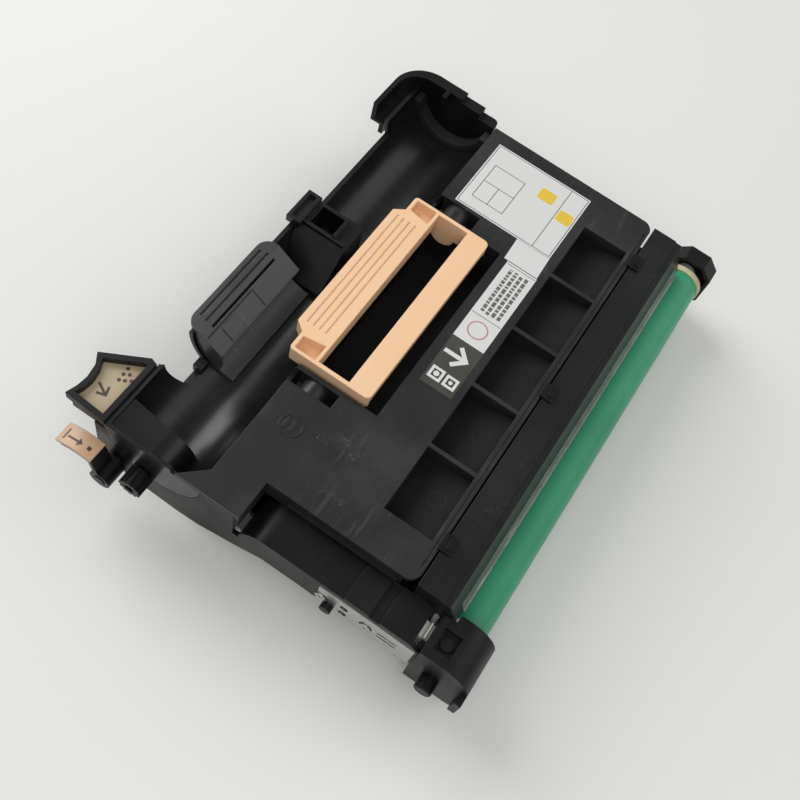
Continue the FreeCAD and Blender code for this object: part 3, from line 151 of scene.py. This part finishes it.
# moulded plastic that has been handled: soft blotches, rubbed streaks, fine dust and hair-thin scratches;
# below the top face the colour is painted shade
def buildShadedHandledPlastic():
    values = {
        "grainScale": 420, "rubRange": (0.48, 0.72), "roughRange": (0.3, 0.7),
        "streakStretch": (85, 12, 30), "streakTurn": 0.75, "streakScale": 3.0, "streakRange": (0.55, 0.68),
        "streakPatchScale": 12, "streakPatchRange": (0.47, 0.60), "streakStrength": 1.6,
        "dustScale": 900, "dustRange": (0.68, 0.76), "dustColour": (0.35, 0.35, 0.34, 1),
        "scratchScale": 48, "scratchRange": (0.0, 0.0035), "scratchColour": (0.30, 0.30, 0.30, 1),
        "scratchPatchScale": 23, "scratchPatchRange": (0.56, 0.64),
        "recessRange": (-0.006, -0.0012), "paintedShadeColour": (0.0035, 0.0038, 0.0040, 1), "recessRough": 0.82,
    }
    group, first, last = newGroup("shadedHandledPlastic", [
        ("Base", "NodeSocketColor", (0.03, 0.03, 0.03, 1)),
        ("Rubbed", "NodeSocketColor", (0.08, 0.08, 0.08, 1)),
        ("Blotch Scale", "NodeSocketFloat", 14.0),
        ("Rub Amount", "NodeSocketFloat", 0.3),
        ("Smooth", "NodeSocketFloat", 0.3),
        ("Dull", "NodeSocketFloat", 0.5),
        ("Dust", "NodeSocketFloat", 0.1),
        ("Scratch", "NodeSocketFloat", 0.0),
        ("Top Height", "NodeSocketFloat", -1.0)],
        [("Color", "NodeSocketColor"), ("Roughness", "NodeSocketFloat"), ("Grain", "NodeSocketFloat")])
    given = first.outputs
    place = group.nodes.new("ShaderNodeTexCoord").outputs["Object"]
    blotch = addNoise(group, place, given["Blotch Scale"], detail=5, rough=0.6)
    grain = addNoise(group, place, values["grainScale"], detail=3)

    # rubbed places: the high spots of the blotches, and patches of fine slanting streaks
    streakMap = group.nodes.new("ShaderNodeMapping")
    streakMap.inputs["Scale"].default_value = values["streakStretch"]
    streakMap.inputs["Rotation"].default_value = (0, 0, values["streakTurn"])
    group.links.new(place, streakMap.inputs["Vector"])
    streak = addNoise(group, streakMap.outputs["Vector"], values["streakScale"], detail=6, rough=0.7)
    rubMask = addRange(group, blotch, values["rubRange"])
    patchNoise = addNoise(group, place, values["streakPatchScale"], detail=2)
    streakPatch = addRange(group, patchNoise, values["streakPatchRange"], 0.0, values["streakStrength"])
    streakMask = addMath(group, "MULTIPLY", addRange(group, streak, values["streakRange"]), streakPatch)
    rub = addMath(group, "MULTIPLY", addMath(group, "MAXIMUM", rubMask, streakMask), given["Rub Amount"])
    worn = addMix(group, rub, given["Base"], given["Rubbed"])

    # dust lies in small specks
    speckMask = addRange(group, addNoise(group, place, values["dustScale"], detail=2), values["dustRange"])
    speck = addMath(group, "MULTIPLY", speckMask, given["Dust"])
    dusty = addMix(group, speck, worn, values["dustColour"])

    # scratches follow the thin line where a soft noise passes its middle, and fade out between patches
    curve = addNoise(group, place, values["scratchScale"], detail=3, rough=0.6)
    offCurve = addMath(group, "ABSOLUTE", addMath(group, "SUBTRACT", curve, 0.5), 0)
    thin = addRange(group, offCurve, values["scratchRange"], 1.0, 0.0)
    patchNoise = addNoise(group, place, values["scratchPatchScale"], detail=3)
    patch = addRange(group, patchNoise, values["scratchPatchRange"])
    scratch = addMath(group, "MULTIPLY", addMath(group, "MULTIPLY", thin, patch), given["Scratch"])
    marked = addMix(group, scratch, dusty, values["scratchColour"])

    # below the top face the colour is painted shade: the recesses are painted deep black, and their roughness
    # is raised
    split = group.nodes.new("ShaderNodeSeparateXYZ")
    group.links.new(place, split.inputs["Vector"])
    above = addMath(group, "SUBTRACT", split.outputs["Z"], given["Top Height"])
    marked = addMix(group, addRange(group, above, values["recessRange"]), values["paintedShadeColour"], marked)
    group.links.new(marked, last.inputs["Color"])
    rough = addRange(group, blotch, values["roughRange"], given["Smooth"], given["Dull"])
    rough = addRange(group, above, values["recessRange"], values["recessRough"], rough)
    group.links.new(rough, last.inputs["Roughness"])
    group.links.new(grain, last.inputs["Grain"])
    return group


# drawn or turned metal: fine lines along one way, under a faint stain
def buildBrushed():
    values = {"range": (0.3, 0.7), "darkestLine": 0.86, "darkestStain": 0.85, "stainScale": 35}
    group, first, last = newGroup("brushedLines", [
        ("Base", "NodeSocketColor", (0.6, 0.6, 0.6, 1)),
        ("Line Scale", "NodeSocketVector", (1500, 40, 1500)),
        ("Smooth", "NodeSocketFloat", 0.25),
        ("Dull", "NodeSocketFloat", 0.45)],
        [("Color", "NodeSocketColor"), ("Roughness", "NodeSocketFloat"), ("Grain", "NodeSocketFloat")])
    given = first.outputs
    place = group.nodes.new("ShaderNodeTexCoord").outputs["Object"]
    stretch = group.nodes.new("ShaderNodeVectorMath")
    stretch.operation = "MULTIPLY"
    group.links.new(place, stretch.inputs[0])
    group.links.new(given["Line Scale"], stretch.inputs[1])
    lines = addNoise(group, stretch.outputs[0], 1.0, detail=4)
    stain = addNoise(group, place, values["stainScale"], detail=4)
    lineShade = addRange(group, lines, values["range"], values["darkestLine"], 1.0)
    stainShade = addRange(group, stain, values["range"], values["darkestStain"], 1.0)
    shade = addMath(group, "MULTIPLY", lineShade, stainShade)
    joined = group.nodes.new("ShaderNodeCombineColor")
    for key in ("Red", "Green", "Blue"):
        group.links.new(shade, joined.inputs[key])
    tint = addMix(group, 1.0, given["Base"], joined.outputs["Color"])
    tint.node.blend_type = "MULTIPLY"
    group.links.new(tint, last.inputs["Color"])
    rough = addRange(group, lines, values["range"], given["Smooth"], given["Dull"])
    group.links.new(rough, last.inputs["Roughness"])
    group.links.new(lines, last.inputs["Grain"])
    return group


shadedHandledPlastic = buildShadedHandledPlastic()
brushedLines = buildBrushed()
grainDepth = {"plastic": 0.00006, "metal": 0.00003}  # metres
bevelSamples = 6


def addBump(tree, shader, height, strength, distance, bevel=0.0):
    bump = tree.nodes.new("ShaderNodeBump")
    bump.inputs["Strength"].default_value = strength
    bump.inputs["Distance"].default_value = distance
    tree.links.new(height, bump.inputs["Height"])
    if bevel:
        soft = tree.nodes.new("ShaderNodeBevel")
        soft.samples = bevelSamples
        soft.inputs["Radius"].default_value = bevel
        tree.links.new(soft.outputs["Normal"], bump.inputs["Normal"])
    tree.links.new(bump.outputs["Normal"], shader.inputs["Normal"])


# smooth and dull are the two ends of the roughness, and bevel and topHeight are in metres
def plastic(name, base, rubbed, blotch, rub, smooth, dull, dust, grain,
            bevel=0.0004, specular=0.5, scratch=0.0, topHeight=-1.0):
    mat, tree, shader = newMaterial(name)
    group = tree.nodes.new("ShaderNodeGroup")
    group.node_tree = shadedHandledPlastic
    group.inputs["Base"].default_value = base + (1,)
    group.inputs["Rubbed"].default_value = rubbed + (1,)
    group.inputs["Blotch Scale"].default_value = blotch
    group.inputs["Rub Amount"].default_value = rub
    group.inputs["Smooth"].default_value = smooth
    group.inputs["Dull"].default_value = dull
    group.inputs["Dust"].default_value = dust
    group.inputs["Scratch"].default_value = scratch
    group.inputs["Top Height"].default_value = topHeight
    tree.links.new(group.outputs["Color"], shader.inputs["Base Color"])
    tree.links.new(group.outputs["Roughness"], shader.inputs["Roughness"])
    shader.inputs["Specular IOR Level"].default_value = specular
    addBump(tree, shader, group.outputs["Grain"], grain, grainDepth["plastic"], bevel)
    return mat


def metal(name, base, lines, smooth, dull, grain=0.15, bevel=0.0002):
    mat, tree, shader = newMaterial(name)
    group = tree.nodes.new("ShaderNodeGroup")
    group.node_tree = brushedLines
    group.inputs["Base"].default_value = base + (1,)
    group.inputs["Line Scale"].default_value = lines
    group.inputs["Smooth"].default_value = smooth
    group.inputs["Dull"].default_value = dull
    tree.links.new(group.outputs["Color"], shader.inputs["Base Color"])
    tree.links.new(group.outputs["Roughness"], shader.inputs["Roughness"])
    shader.inputs["Metallic"].default_value = 1.0
    addBump(tree, shader, group.outputs["Grain"], grain, grainDepth["metal"], bevel)
    return mat


# photoconductor: satin green, lighter where the coat is thin, with faint turning rings
def drumCoating():
    values = {
        "light": (0.034, 0.32, 0.160, 1), "deep": (0.022, 0.25, 0.122, 1),
        "hazeScale": 16, "hazeRange": (0.3, 0.7),
        "rings": (30, 900, 30), "smooth": 0.34, "dull": 0.44, "grain": 0.05,
        "specular": 0.35, "coat": 0.1, "coatRoughness": 0.25,
    }
    mat, tree, shader = newMaterial("drumGreenCoat")
    group = tree.nodes.new("ShaderNodeGroup")
    group.node_tree = brushedLines
    group.inputs["Base"].default_value = (1, 1, 1, 1)
    group.inputs["Line Scale"].default_value = values["rings"]
    group.inputs["Smooth"].default_value = values["smooth"]
    group.inputs["Dull"].default_value = values["dull"]
    place = tree.nodes.new("ShaderNodeTexCoord").outputs["Object"]
    haze = addRange(tree, addNoise(tree, place, values["hazeScale"], detail=3), values["hazeRange"])
    colour = addMix(tree, haze, values["light"], values["deep"])
    tree.links.new(colour, shader.inputs["Base Color"])
    tree.links.new(group.outputs["Roughness"], shader.inputs["Roughness"])
    shader.inputs["Specular IOR Level"].default_value = values["specular"]
    shader.inputs["Coat Weight"].default_value = values["coat"]
    shader.inputs["Coat Roughness"].default_value = values["coatRoughness"]
    addBump(tree, shader, group.outputs["Grain"], values["grain"], grainDepth["metal"])
    return mat


plastics = {
    # the cover has painted shade below its top face, which stands at topHeight
    "cover": {
        "name": "satinCharcoal", "base": (0.0140, 0.0143, 0.0147), "rubbed": (0.048, 0.049, 0.050),
        "blotch": 16, "rub": 0.5, "smooth": 0.30, "dull": 0.46, "dust": 0.08, "grain": 0.25,
        "specular": 0.42, "scratch": 0.28, "topHeight": 0.062},
    "trough": {
        "name": "glossBlack", "base": (0.0060, 0.0064, 0.0064), "rubbed": (0.015, 0.016, 0.016),
        "blotch": 22, "rub": 0.35, "smooth": 0.20, "dull": 0.36, "dust": 0.04, "grain": 0.08,
        "specular": 0.42, "scratch": 0.08},
    "frame": {
        "name": "mattBlack", "base": (0.0052, 0.0052, 0.0052), "rubbed": (0.014, 0.014, 0.014),
        "blotch": 30, "rub": 0.35, "smooth": 0.32, "dull": 0.5, "dust": 0.05, "grain": 0.3,
        "specular": 0.24, "scratch": 0.06},
    "beam": {
        "name": "beamBlack", "base": (0.0085, 0.0086, 0.0088), "rubbed": (0.022, 0.0225, 0.023),
        "blotch": 24, "rub": 0.4, "smooth": 0.28, "dull": 0.44, "dust": 0.05, "grain": 0.3,
        "specular": 0.3, "scratch": 0.12},
    "grip": {
        "name": "gripGrey", "base": (0.033, 0.034, 0.034), "rubbed": (0.060, 0.061, 0.061),
        "blotch": 18, "rub": 0.5, "smooth": 0.24, "dull": 0.4, "dust": 0.06, "grain": 0.25, "scratch": 0.3},
    # painted shade on the lever tab: it is a darker copy of the peach plastic
    "tab": {
        "name": "peachTabPaintedShade", "base": (0.56, 0.35, 0.205), "rubbed": (0.62, 0.42, 0.27),
        "blotch": 40, "rub": 0.4, "smooth": 0.30, "dull": 0.42, "dust": 0.05, "grain": 0.15},
    "peach": {
        "name": "peachPlastic", "base": (0.86, 0.555, 0.325), "rubbed": (0.90, 0.64, 0.43),
        "blotch": 26, "rub": 0.35, "smooth": 0.30, "dull": 0.42, "dust": 0.03, "grain": 0.15,
        "bevel": 0.0009, "specular": 0.4},
    "cream": {
        "name": "creamPlastic", "base": (0.60, 0.52, 0.33), "rubbed": (0.70, 0.64, 0.46),
        "blotch": 40, "rub": 0.4, "smooth": 0.28, "dull": 0.4, "dust": 0.05, "grain": 0.1},
    "white": {
        "name": "whitePlastic", "base": (0.66, 0.66, 0.63), "rubbed": (0.74, 0.74, 0.72),
        "blotch": 40, "rub": 0.4, "smooth": 0.28, "dull": 0.4, "dust": 0.05, "grain": 0.1},
    "rubber": {
        "name": "softRubber", "base": (0.012, 0.012, 0.012), "rubbed": (0.025, 0.025, 0.025),
        "blotch": 60, "rub": 0.3, "smooth": 0.55, "dull": 0.75, "dust": 0.05, "grain": 0.3},
    "blade": {
        "name": "amberRubber", "base": (0.42, 0.25, 0.10), "rubbed": (0.50, 0.32, 0.15),
        "blotch": 60, "rub": 0.3, "smooth": 0.3, "dull": 0.45, "dust": 0.0, "grain": 0.1},
    "gear": {
        "name": "gearPlastic", "base": (0.55, 0.54, 0.49), "rubbed": (0.62, 0.61, 0.57),
        "blotch": 60, "rub": 0.4, "smooth": 0.3, "dull": 0.45, "dust": 0.0, "grain": 0.1},
    "paper": {
        "name": "labelPaper", "base": (0.66, 0.665, 0.64), "rubbed": (0.61, 0.615, 0.60),
        "blotch": 30, "rub": 0.3, "smooth": 0.36, "dull": 0.48, "dust": 0.0, "grain": 0.05, "bevel": 0.0},
    "tan": {
        "name": "tanLabel", "base": (0.42, 0.325, 0.205), "rubbed": (0.48, 0.39, 0.26),
        "blotch": 40, "rub": 0.35, "smooth": 0.3, "dull": 0.42, "dust": 0.03, "grain": 0.05, "bevel": 0.0},
    "olive": {
        "name": "darkLabel", "base": (0.052, 0.050, 0.040), "rubbed": (0.075, 0.072, 0.060),
        "blotch": 40, "rub": 0.35, "smooth": 0.3, "dull": 0.42, "dust": 0.03, "grain": 0.05, "bevel": 0.0},
    # the lip film's base and rubbed colours are lightened: a painted glint along the film's edge
    "film": {
        "name": "lipFilmPaintedGlint", "base": (0.13, 0.13, 0.125), "rubbed": (0.34, 0.34, 0.33),
        "blotch": 40, "rub": 0.5, "smooth": 0.12, "dull": 0.22, "dust": 0.0, "grain": 0.05, "bevel": 0.0},
}
mats = {finish: plastic(**values) for finish, values in plastics.items()}
mats["steel"] = metal("platedSteel", base=(0.60, 0.60, 0.57), lines=(60, 60, 1200), smooth=0.25, dull=0.42)
mats["sleeve"] = metal("blastedSleeve", base=(0.32, 0.32, 0.33), lines=(700, 700, 700), smooth=0.4, dull=0.55)
mats["drum"] = drumCoating()

# printing inks: each has its own colour and its rubbed colour
inkFinish = {"blotch": 60, "rub": 0.3, "smooth": 0.4, "dull": 0.5, "dust": 0.0, "grain": 0.02, "bevel": 0.0}
inks = {
    "inkDark": ((0.03, 0.028, 0.025), (0.05, 0.048, 0.045)),
    "inkGrey": ((0.12, 0.12, 0.115), (0.18, 0.18, 0.17)),
    "inkWhite": ((0.66, 0.66, 0.64), (0.7, 0.7, 0.68)),
    "inkYellow": ((0.74, 0.50, 0.05), (0.78, 0.58, 0.12)),
    "inkRose": ((0.50, 0.17, 0.20), (0.56, 0.25, 0.27)),
    "inkBrown": ((0.06, 0.035, 0.02), (0.09, 0.06, 0.04)),
}
for ink, (base, rubbed) in inks.items():
    mats[ink] = plastic(ink, base, rubbed, **inkFinish)
print("materials:", len(mats))

# the lever tab takes the tab finish, which is peach plastic darkened as painted shade
nodeFinish = {"grip_panel": "grip", "label_tray": "frame", "lever_tab": "tab", "cleaner_beam": "beam"}
slotOf = {s["node"]: s["material_slot"] for s in frame["record"]["subparts"]}
for node, obj in frame["nodes"].items():
    finish = nodeFinish.get(node, slotOf[node])
    for holder in obj.material_slots:
        holder.material = mats[finish]
print("nodes dressed")


# outlines of marks: lists of (x, y) corners in mm
def rect(x0, y0, x1, y1):
    return [(x0, y0), (x1, y0), (x1, y1), (x0, y1)]


def bar(x0, y0, x1, y1, width):
    dx, dy = x1 - x0, y1 - y0
    size = math.hypot(dx, dy)
    nx, ny = -dy / size * width / 2, dx / size * width / 2
    return [(x0 + nx, y0 + ny), (x0 - nx, y0 - ny), (x1 - nx, y1 - ny), (x1 + nx, y1 + ny)]


def border(x0, y0, x1, y1, width):
    return [rect(x0, y0, x1, y0 + width), rect(x0, y1 - width, x1, y1),
            rect(x0, y0 + width, x0 + width, y1 - width), rect(x1 - width, y0 + width, x1, y1 - width)]


def roundBox(cx, cy, w, h, r, steps=5):
    pts = []
    for qx, qy, start in ((1, 1, 0), (-1, 1, 90), (-1, -1, 180), (1, -1, 270)):
        for k in range(steps + 1):
            a = math.radians(start + 90 * k / steps)
            pts.append((cx + qx * (w / 2 - r) + r * math.cos(a), cy + qy * (h / 2 - r) + r * math.sin(a)))
    return pts


def dot(cx, cy, r, steps=20):
    turns = [2 * math.pi * k / steps for k in range(steps)]
    return [(cx + r * math.cos(a), cy + r * math.sin(a)) for a in turns]


def ringBars(cx, cy, r, width, steps=28):
    loops = []
    for k in range(steps):
        a, b = 2 * math.pi * k / steps, 2 * math.pi * (k + 1) / steps
        loops.append([(cx + (r - width) * math.cos(a), cy + (r - width) * math.sin(a)),
                      (cx + r * math.cos(a), cy + r * math.sin(a)),
                      (cx + r * math.cos(b), cy + r * math.sin(b)),
                      (cx + (r - width) * math.cos(b), cy + (r - width) * math.sin(b))])
    return loops


def arrowLoop(start, tip, arm, width):
    # one outline: a stem that ends in the tip, with two arms that run back from it at 45 degrees
    x0, y0 = start
    size = math.dist(start, tip)
    ux, uy = (tip[0] - x0) / size, (tip[1] - y0) / size
    half, slant = width / 2, width / math.sqrt(2)
    notch = size - 2 * slant - half
    upper = [(size - arm, arm), (size - arm - slant, arm - slant), (notch, half), (0, half)]
    pts = [(a, -b) for a, b in reversed(upper)] + [(size, 0)] + upper
    return [(x0 + a * ux - b * uy, y0 + a * uy + b * ux) for a, b in pts]


def addSheet(verts, faces, loop, tops, bottoms):
    # closes one outline between a top and a bottom height for each corner
    n = len(loop)
    base = len(verts)
    for heights in (tops, bottoms):
        verts += [(x * mm, y * mm, z * mm) for (x, y), z in zip(loop, heights)]
    faces.append([base + i for i in range(n)])
    faces.append([base + n + i for i in reversed(range(n))])
    for i in range(n):
        j = (i + 1) % n
        faces.append([base + i, base + n + i, base + n + j, base + j])


# printed marks are thin flat shapes that stand on a label's top
printDepth = 0.02


def flatMarks(name, loops, z, material):
    verts, faces = [], []
    for loop in loops:
        n = len(loop)
        area = sum(loop[i][0] * loop[(i + 1) % n][1] - loop[(i + 1) % n][0] * loop[i][1] for i in range(n))
        pts = loop if area > 0 else loop[::-1]
        addSheet(verts, faces, pts, [z + printDepth] * n, [z] * n)
    return meshPiece(name, verts, faces, material, "housing")


# large label: a frame with one line up it, a plain field in three parts and two yellow fields
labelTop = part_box("label_main")[1].z / mm
mainLabel = {
    "frame": (-25.2, 70.8, 31.7, 117.2), "lineWidth": 0.35,
    "splitX": 21.0, "splitFrom": 71.2, "splitTo": 116.8,
    "field": (-20.5, 78.0, -1.5, 104.0), "fieldRow": 91, "fieldColumn": -11,
    "yellowFields": ((12.0, 104.5, 9.5, 8.0), (26.4, 98.0, 8.5, 8.0)), "cornerRadius": 1.2,
}
w = mainLabel["lineWidth"]
fieldRow, fieldColumn = mainLabel["fieldRow"], mainLabel["fieldColumn"]
left, bottom, right, top = mainLabel["field"]
lines = border(*mainLabel["frame"], w)
lines += [rect(mainLabel["splitX"], mainLabel["splitFrom"], mainLabel["splitX"] + w, mainLabel["splitTo"])]
lines += border(left, bottom, right, top, w)
lines += [bar(left, fieldRow, right, fieldRow, w), bar(fieldColumn, bottom, fieldColumn, fieldRow, w)]
flatMarks("labelMainLines", lines, labelTop, mats["inkDark"])
fields = [roundBox(*box, mainLabel["cornerRadius"]) for box in mainLabel["yellowFields"]]
flatMarks("labelMainFields", fields, labelTop, mats["inkYellow"])

# strip: rows of short plain bars, three lines across and one plain ring
stripLabel = {
    "rows": 4, "rowGap": 3.1, "firstX": 19.4, "start": 19.5, "startSpread": 2.0, "end": 51.0,
    "barWidth": 1.9, "barLength": (1.2, 3.4), "barGap": 0.7, "seed": 7,
    "lines": ((16.2, 53.0, 33.2, 53.3), (16.2, 17.0, 33.2, 17.3), (16.0, 54.5, 33.5, 54.8)),
    "ring": (24.6, 9.0, 5.4, 0.7),
}
rng = random.Random(stripLabel["seed"])
bars = []
for row in range(stripLabel["rows"]):
    x = stripLabel["firstX"] + row * stripLabel["rowGap"]
    y = stripLabel["start"] + rng.uniform(0, stripLabel["startSpread"])
    while y < stripLabel["end"]:
        step = rng.uniform(*stripLabel["barLength"])
        bars.append(rect(x, y, x + stripLabel["barWidth"], min(y + step, stripLabel["end"])))
        y += step + stripLabel["barGap"]
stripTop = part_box("label_strip")[1].z / mm
flatMarks("labelStripBars", bars, stripTop, mats["inkGrey"])
acrossLines = [rect(*line) for line in stripLabel["lines"]]
flatMarks("labelStripLines", acrossLines, stripTop, mats["inkDark"])
flatMarks("labelStripRing", ringBars(*stripLabel["ring"]), stripTop, mats["inkRose"])

# dark strip: a white arrow that points the way the unit goes in, and two plain square fields
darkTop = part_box("label_dark")[1].z / mm
darkStrip = {
    "arrow": {"start": (17.0, -10.2), "tip": (30.8, -10.2), "arm": 6.6, "width": 2.3},
    "squares": ((17.2, -27.8, 24.4, -20.6), (25.6, -27.8, 32.4, -21.0)), "squareLine": 1.4,
    "dots": ((29.0, -24.4, 1.1), (20.8, -24.2, 1.5)),
}
flatMarks("labelDarkArrow", [arrowLoop(**darkStrip["arrow"])], darkTop, mats["inkWhite"])
squares = []
for square in darkStrip["squares"]:
    squares += border(*square, darkStrip["squareLine"])
squares += [dot(*spot) for spot in darkStrip["dots"]]
flatMarks("labelDarkSquares", squares, darkTop, mats["inkWhite"])

# tray label: toner dots and an arrow
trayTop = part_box("tray_label")[1].z / mm
trayLabel = {
    "dots": ((-93.4, -109.6), (-93.2, -113.0), (-90.8, -111.6),
             (-93.0, -116.4), (-90.6, -115.2), (-88.2, -113.6)),
    "dotRadius": 0.95,
    "arrow": {"start": (-99.0, -122.6), "tip": (-91.8, -126.4), "arm": 3.6, "width": 1.3},
}
dots = [dot(x, y, trayLabel["dotRadius"]) for x, y in trayLabel["dots"]]
flatMarks("trayMarks", dots + [arrowLoop(**trayLabel["arrow"])], trayTop, mats["inkBrown"])

# the lever's curved tab: each shape has an angle from and to, y from and to, and the share of its width
# that is left at the far angle
tabPrint = {
    "axis": (-88.0, 22.0), "radius": 26.6, "depth": 0.03, "steps": 4,
    "shapes": ((-24, -22, -149.2, -143.4, 1), (-20, -7, -147.6, -146.5, 1), (-7, -2, -149.2, -144.9, 0.05),
               (4, 8, -147.9, -145.9, 1)),
}


def tabMarks(name, values, material):
    verts, faces = [], []
    axisX, axisZ = values["axis"]
    steps = values["steps"]
    for angleFrom, angleTo, yFrom, yTo, share in values["shapes"]:
        middle = (yFrom + yTo) / 2
        for k in range(steps):
            corners = []
            for t in (k / steps, (k + 1) / steps):
                a = math.radians(angleFrom + (angleTo - angleFrom) * t)
                half = (yTo - yFrom) / 2 * (1 - (1 - share) * t)
                for r in (values["radius"], values["radius"] + values["depth"]):
                    x, z = axisX + r * math.sin(a), axisZ + r * math.cos(a)
                    corners += [(x * mm, y * mm, z * mm) for y in (middle - half, middle + half)]
            n = len(verts)
            verts += corners
            faces += [[n + 2, n + 6, n + 7, n + 3], [n, n + 1, n + 5, n + 4], [n, n + 4, n + 6, n + 2],
                      [n + 1, n + 3, n + 7, n + 5], [n, n + 2, n + 3, n + 1], [n + 4, n + 5, n + 7, n + 6]]
    return meshPiece(name, verts, faces, material, "lever")


tabMarks("leverTabMarks", tabPrint, mats["inkBrown"])
print("label marks made")


# moulding marks lie on sloping faces, a little proud of them and a little sunk into them
drapeDepth = 0.05
probeHeight = 0.2  # metres, well above the unit


def surfaceHeight(node, x, y):
    # height in mm of a CAD node's top surface under (x, y)
    obj = frame["nodes"][node]
    back = obj.matrix_world.inverted()
    start = back @ Vector((x * mm, y * mm, probeHeight))
    down = back.to_3x3() @ Vector((0, 0, -1))
    spot = obj.ray_cast(start, down)[1]
    return (obj.matrix_world @ spot).z / mm


def drapedMarks(name, node, loops, material):
    verts, faces = [], []
    for loop in loops:
        heights = [surfaceHeight(node, x, y) for x, y in loop]
        tops = [z + drapeDepth for z in heights]
        bottoms = [z - drapeDepth for z in heights]
        addSheet(verts, faces, loop, tops, bottoms)
    return meshPiece(name, verts, faces, material, "housing")


# a thin ring on the floor of each pocket of the cover
bpy.context.view_layer.update()
pocketMarks = {"x": 55.0, "firstY": -74.6, "pitch": 39.9, "count": 5, "radius": 4.2, "width": 0.35}
rings = []
for i in range(pocketMarks["count"]):
    y = pocketMarks["firstY"] + i * pocketMarks["pitch"]
    rings += ringBars(pocketMarks["x"], y, pocketMarks["radius"], pocketMarks["width"])
drapedMarks("pocketRings", "top_cover", rings, mats["beam"])

# the dark gap along two sides of the latch on the grip panel's sloping plate
latchGap = {"inner": -66.2, "outer": -75.0, "near": -75.8, "far": -41.0, "width": 0.8}
corner = latchGap["outer"] + latchGap["width"]
gap = [rect(latchGap["outer"], latchGap["near"], corner, latchGap["far"]),
       rect(corner, latchGap["far"] - latchGap["width"], latchGap["inner"], latchGap["far"])]
drapedMarks("panelLatchGap", "grip_panel", gap, mats["rubber"])
print("moulding marks made")

# the floor is a wide sheet just under the rest plane, in metres
floorValues = {
    "half": 3.0, "drop": 0.0002, "low": (0.75, 0.745, 0.715, 1), "high": (0.79, 0.785, 0.755, 1),
    "patchScale": 1.4, "patchRange": (0.3, 0.7), "roughness": 0.85, "specular": 0.1,
}
mat, tree, shader = newMaterial("paleFloor")
place = tree.nodes.new("ShaderNodeTexCoord").outputs["Object"]
patchNoise = addNoise(tree, place, floorValues["patchScale"], detail=2)
patches = addRange(tree, patchNoise, floorValues["patchRange"])
floorColour = addMix(tree, patches, floorValues["low"], floorValues["high"])
tree.links.new(floorColour, shader.inputs["Base Color"])
shader.inputs["Roughness"].default_value = floorValues["roughness"]
shader.inputs["Specular IOR Level"].default_value = floorValues["specular"]
half, floorZ = floorValues["half"], -floorValues["drop"]
corners = [(x, y, floorZ) for x, y in rect(-half, -half, half, half)]
floor = meshPiece("floorSheet", corners, [(0, 1, 2, 3)], mat, None)

# three soft lamps that face the unit, and a plain pale room round it
lights = {
    "window": {"place": (-1.25, 0.35, 1.05), "size": 1.1, "power": 18.0},
    "room": {"place": (0.40, -1.05, 1.6), "size": 1.5, "power": 13.0},
    "side": {"place": (1.35, 1.15, 1.25), "size": 1.9, "power": 11.0},
}
lampAim = Vector((0, 0, 0.03))
for name, values in lights.items():
    data = bpy.data.lights.new(name + "Light", "AREA")
    data.shape = "SQUARE"
    data.size = values["size"]
    data.energy = values["power"]
    lamp = bpy.data.objects.new(name + "Light", data)
    scene.collection.objects.link(lamp)
    lamp.location = values["place"]
    lamp.rotation_euler = (lampAim - Vector(values["place"])).to_track_quat("-Z", "Y").to_euler()

paleRoom = {"colour": (0.90, 0.92, 0.94, 1), "strength": 0.36}
world = bpy.data.worlds.new("paleRoom")
world.use_nodes = True
scene.world = world
tree = world.node_tree
tree.nodes.clear()
out = tree.nodes.new("ShaderNodeOutputWorld")
glow = tree.nodes.new("ShaderNodeBackground")
glow.inputs["Color"].default_value = paleRoom["colour"]
glow.inputs["Strength"].default_value = paleRoom["strength"]
tree.links.new(glow.outputs["Background"], out.inputs["Surface"])
print("light and floor set")
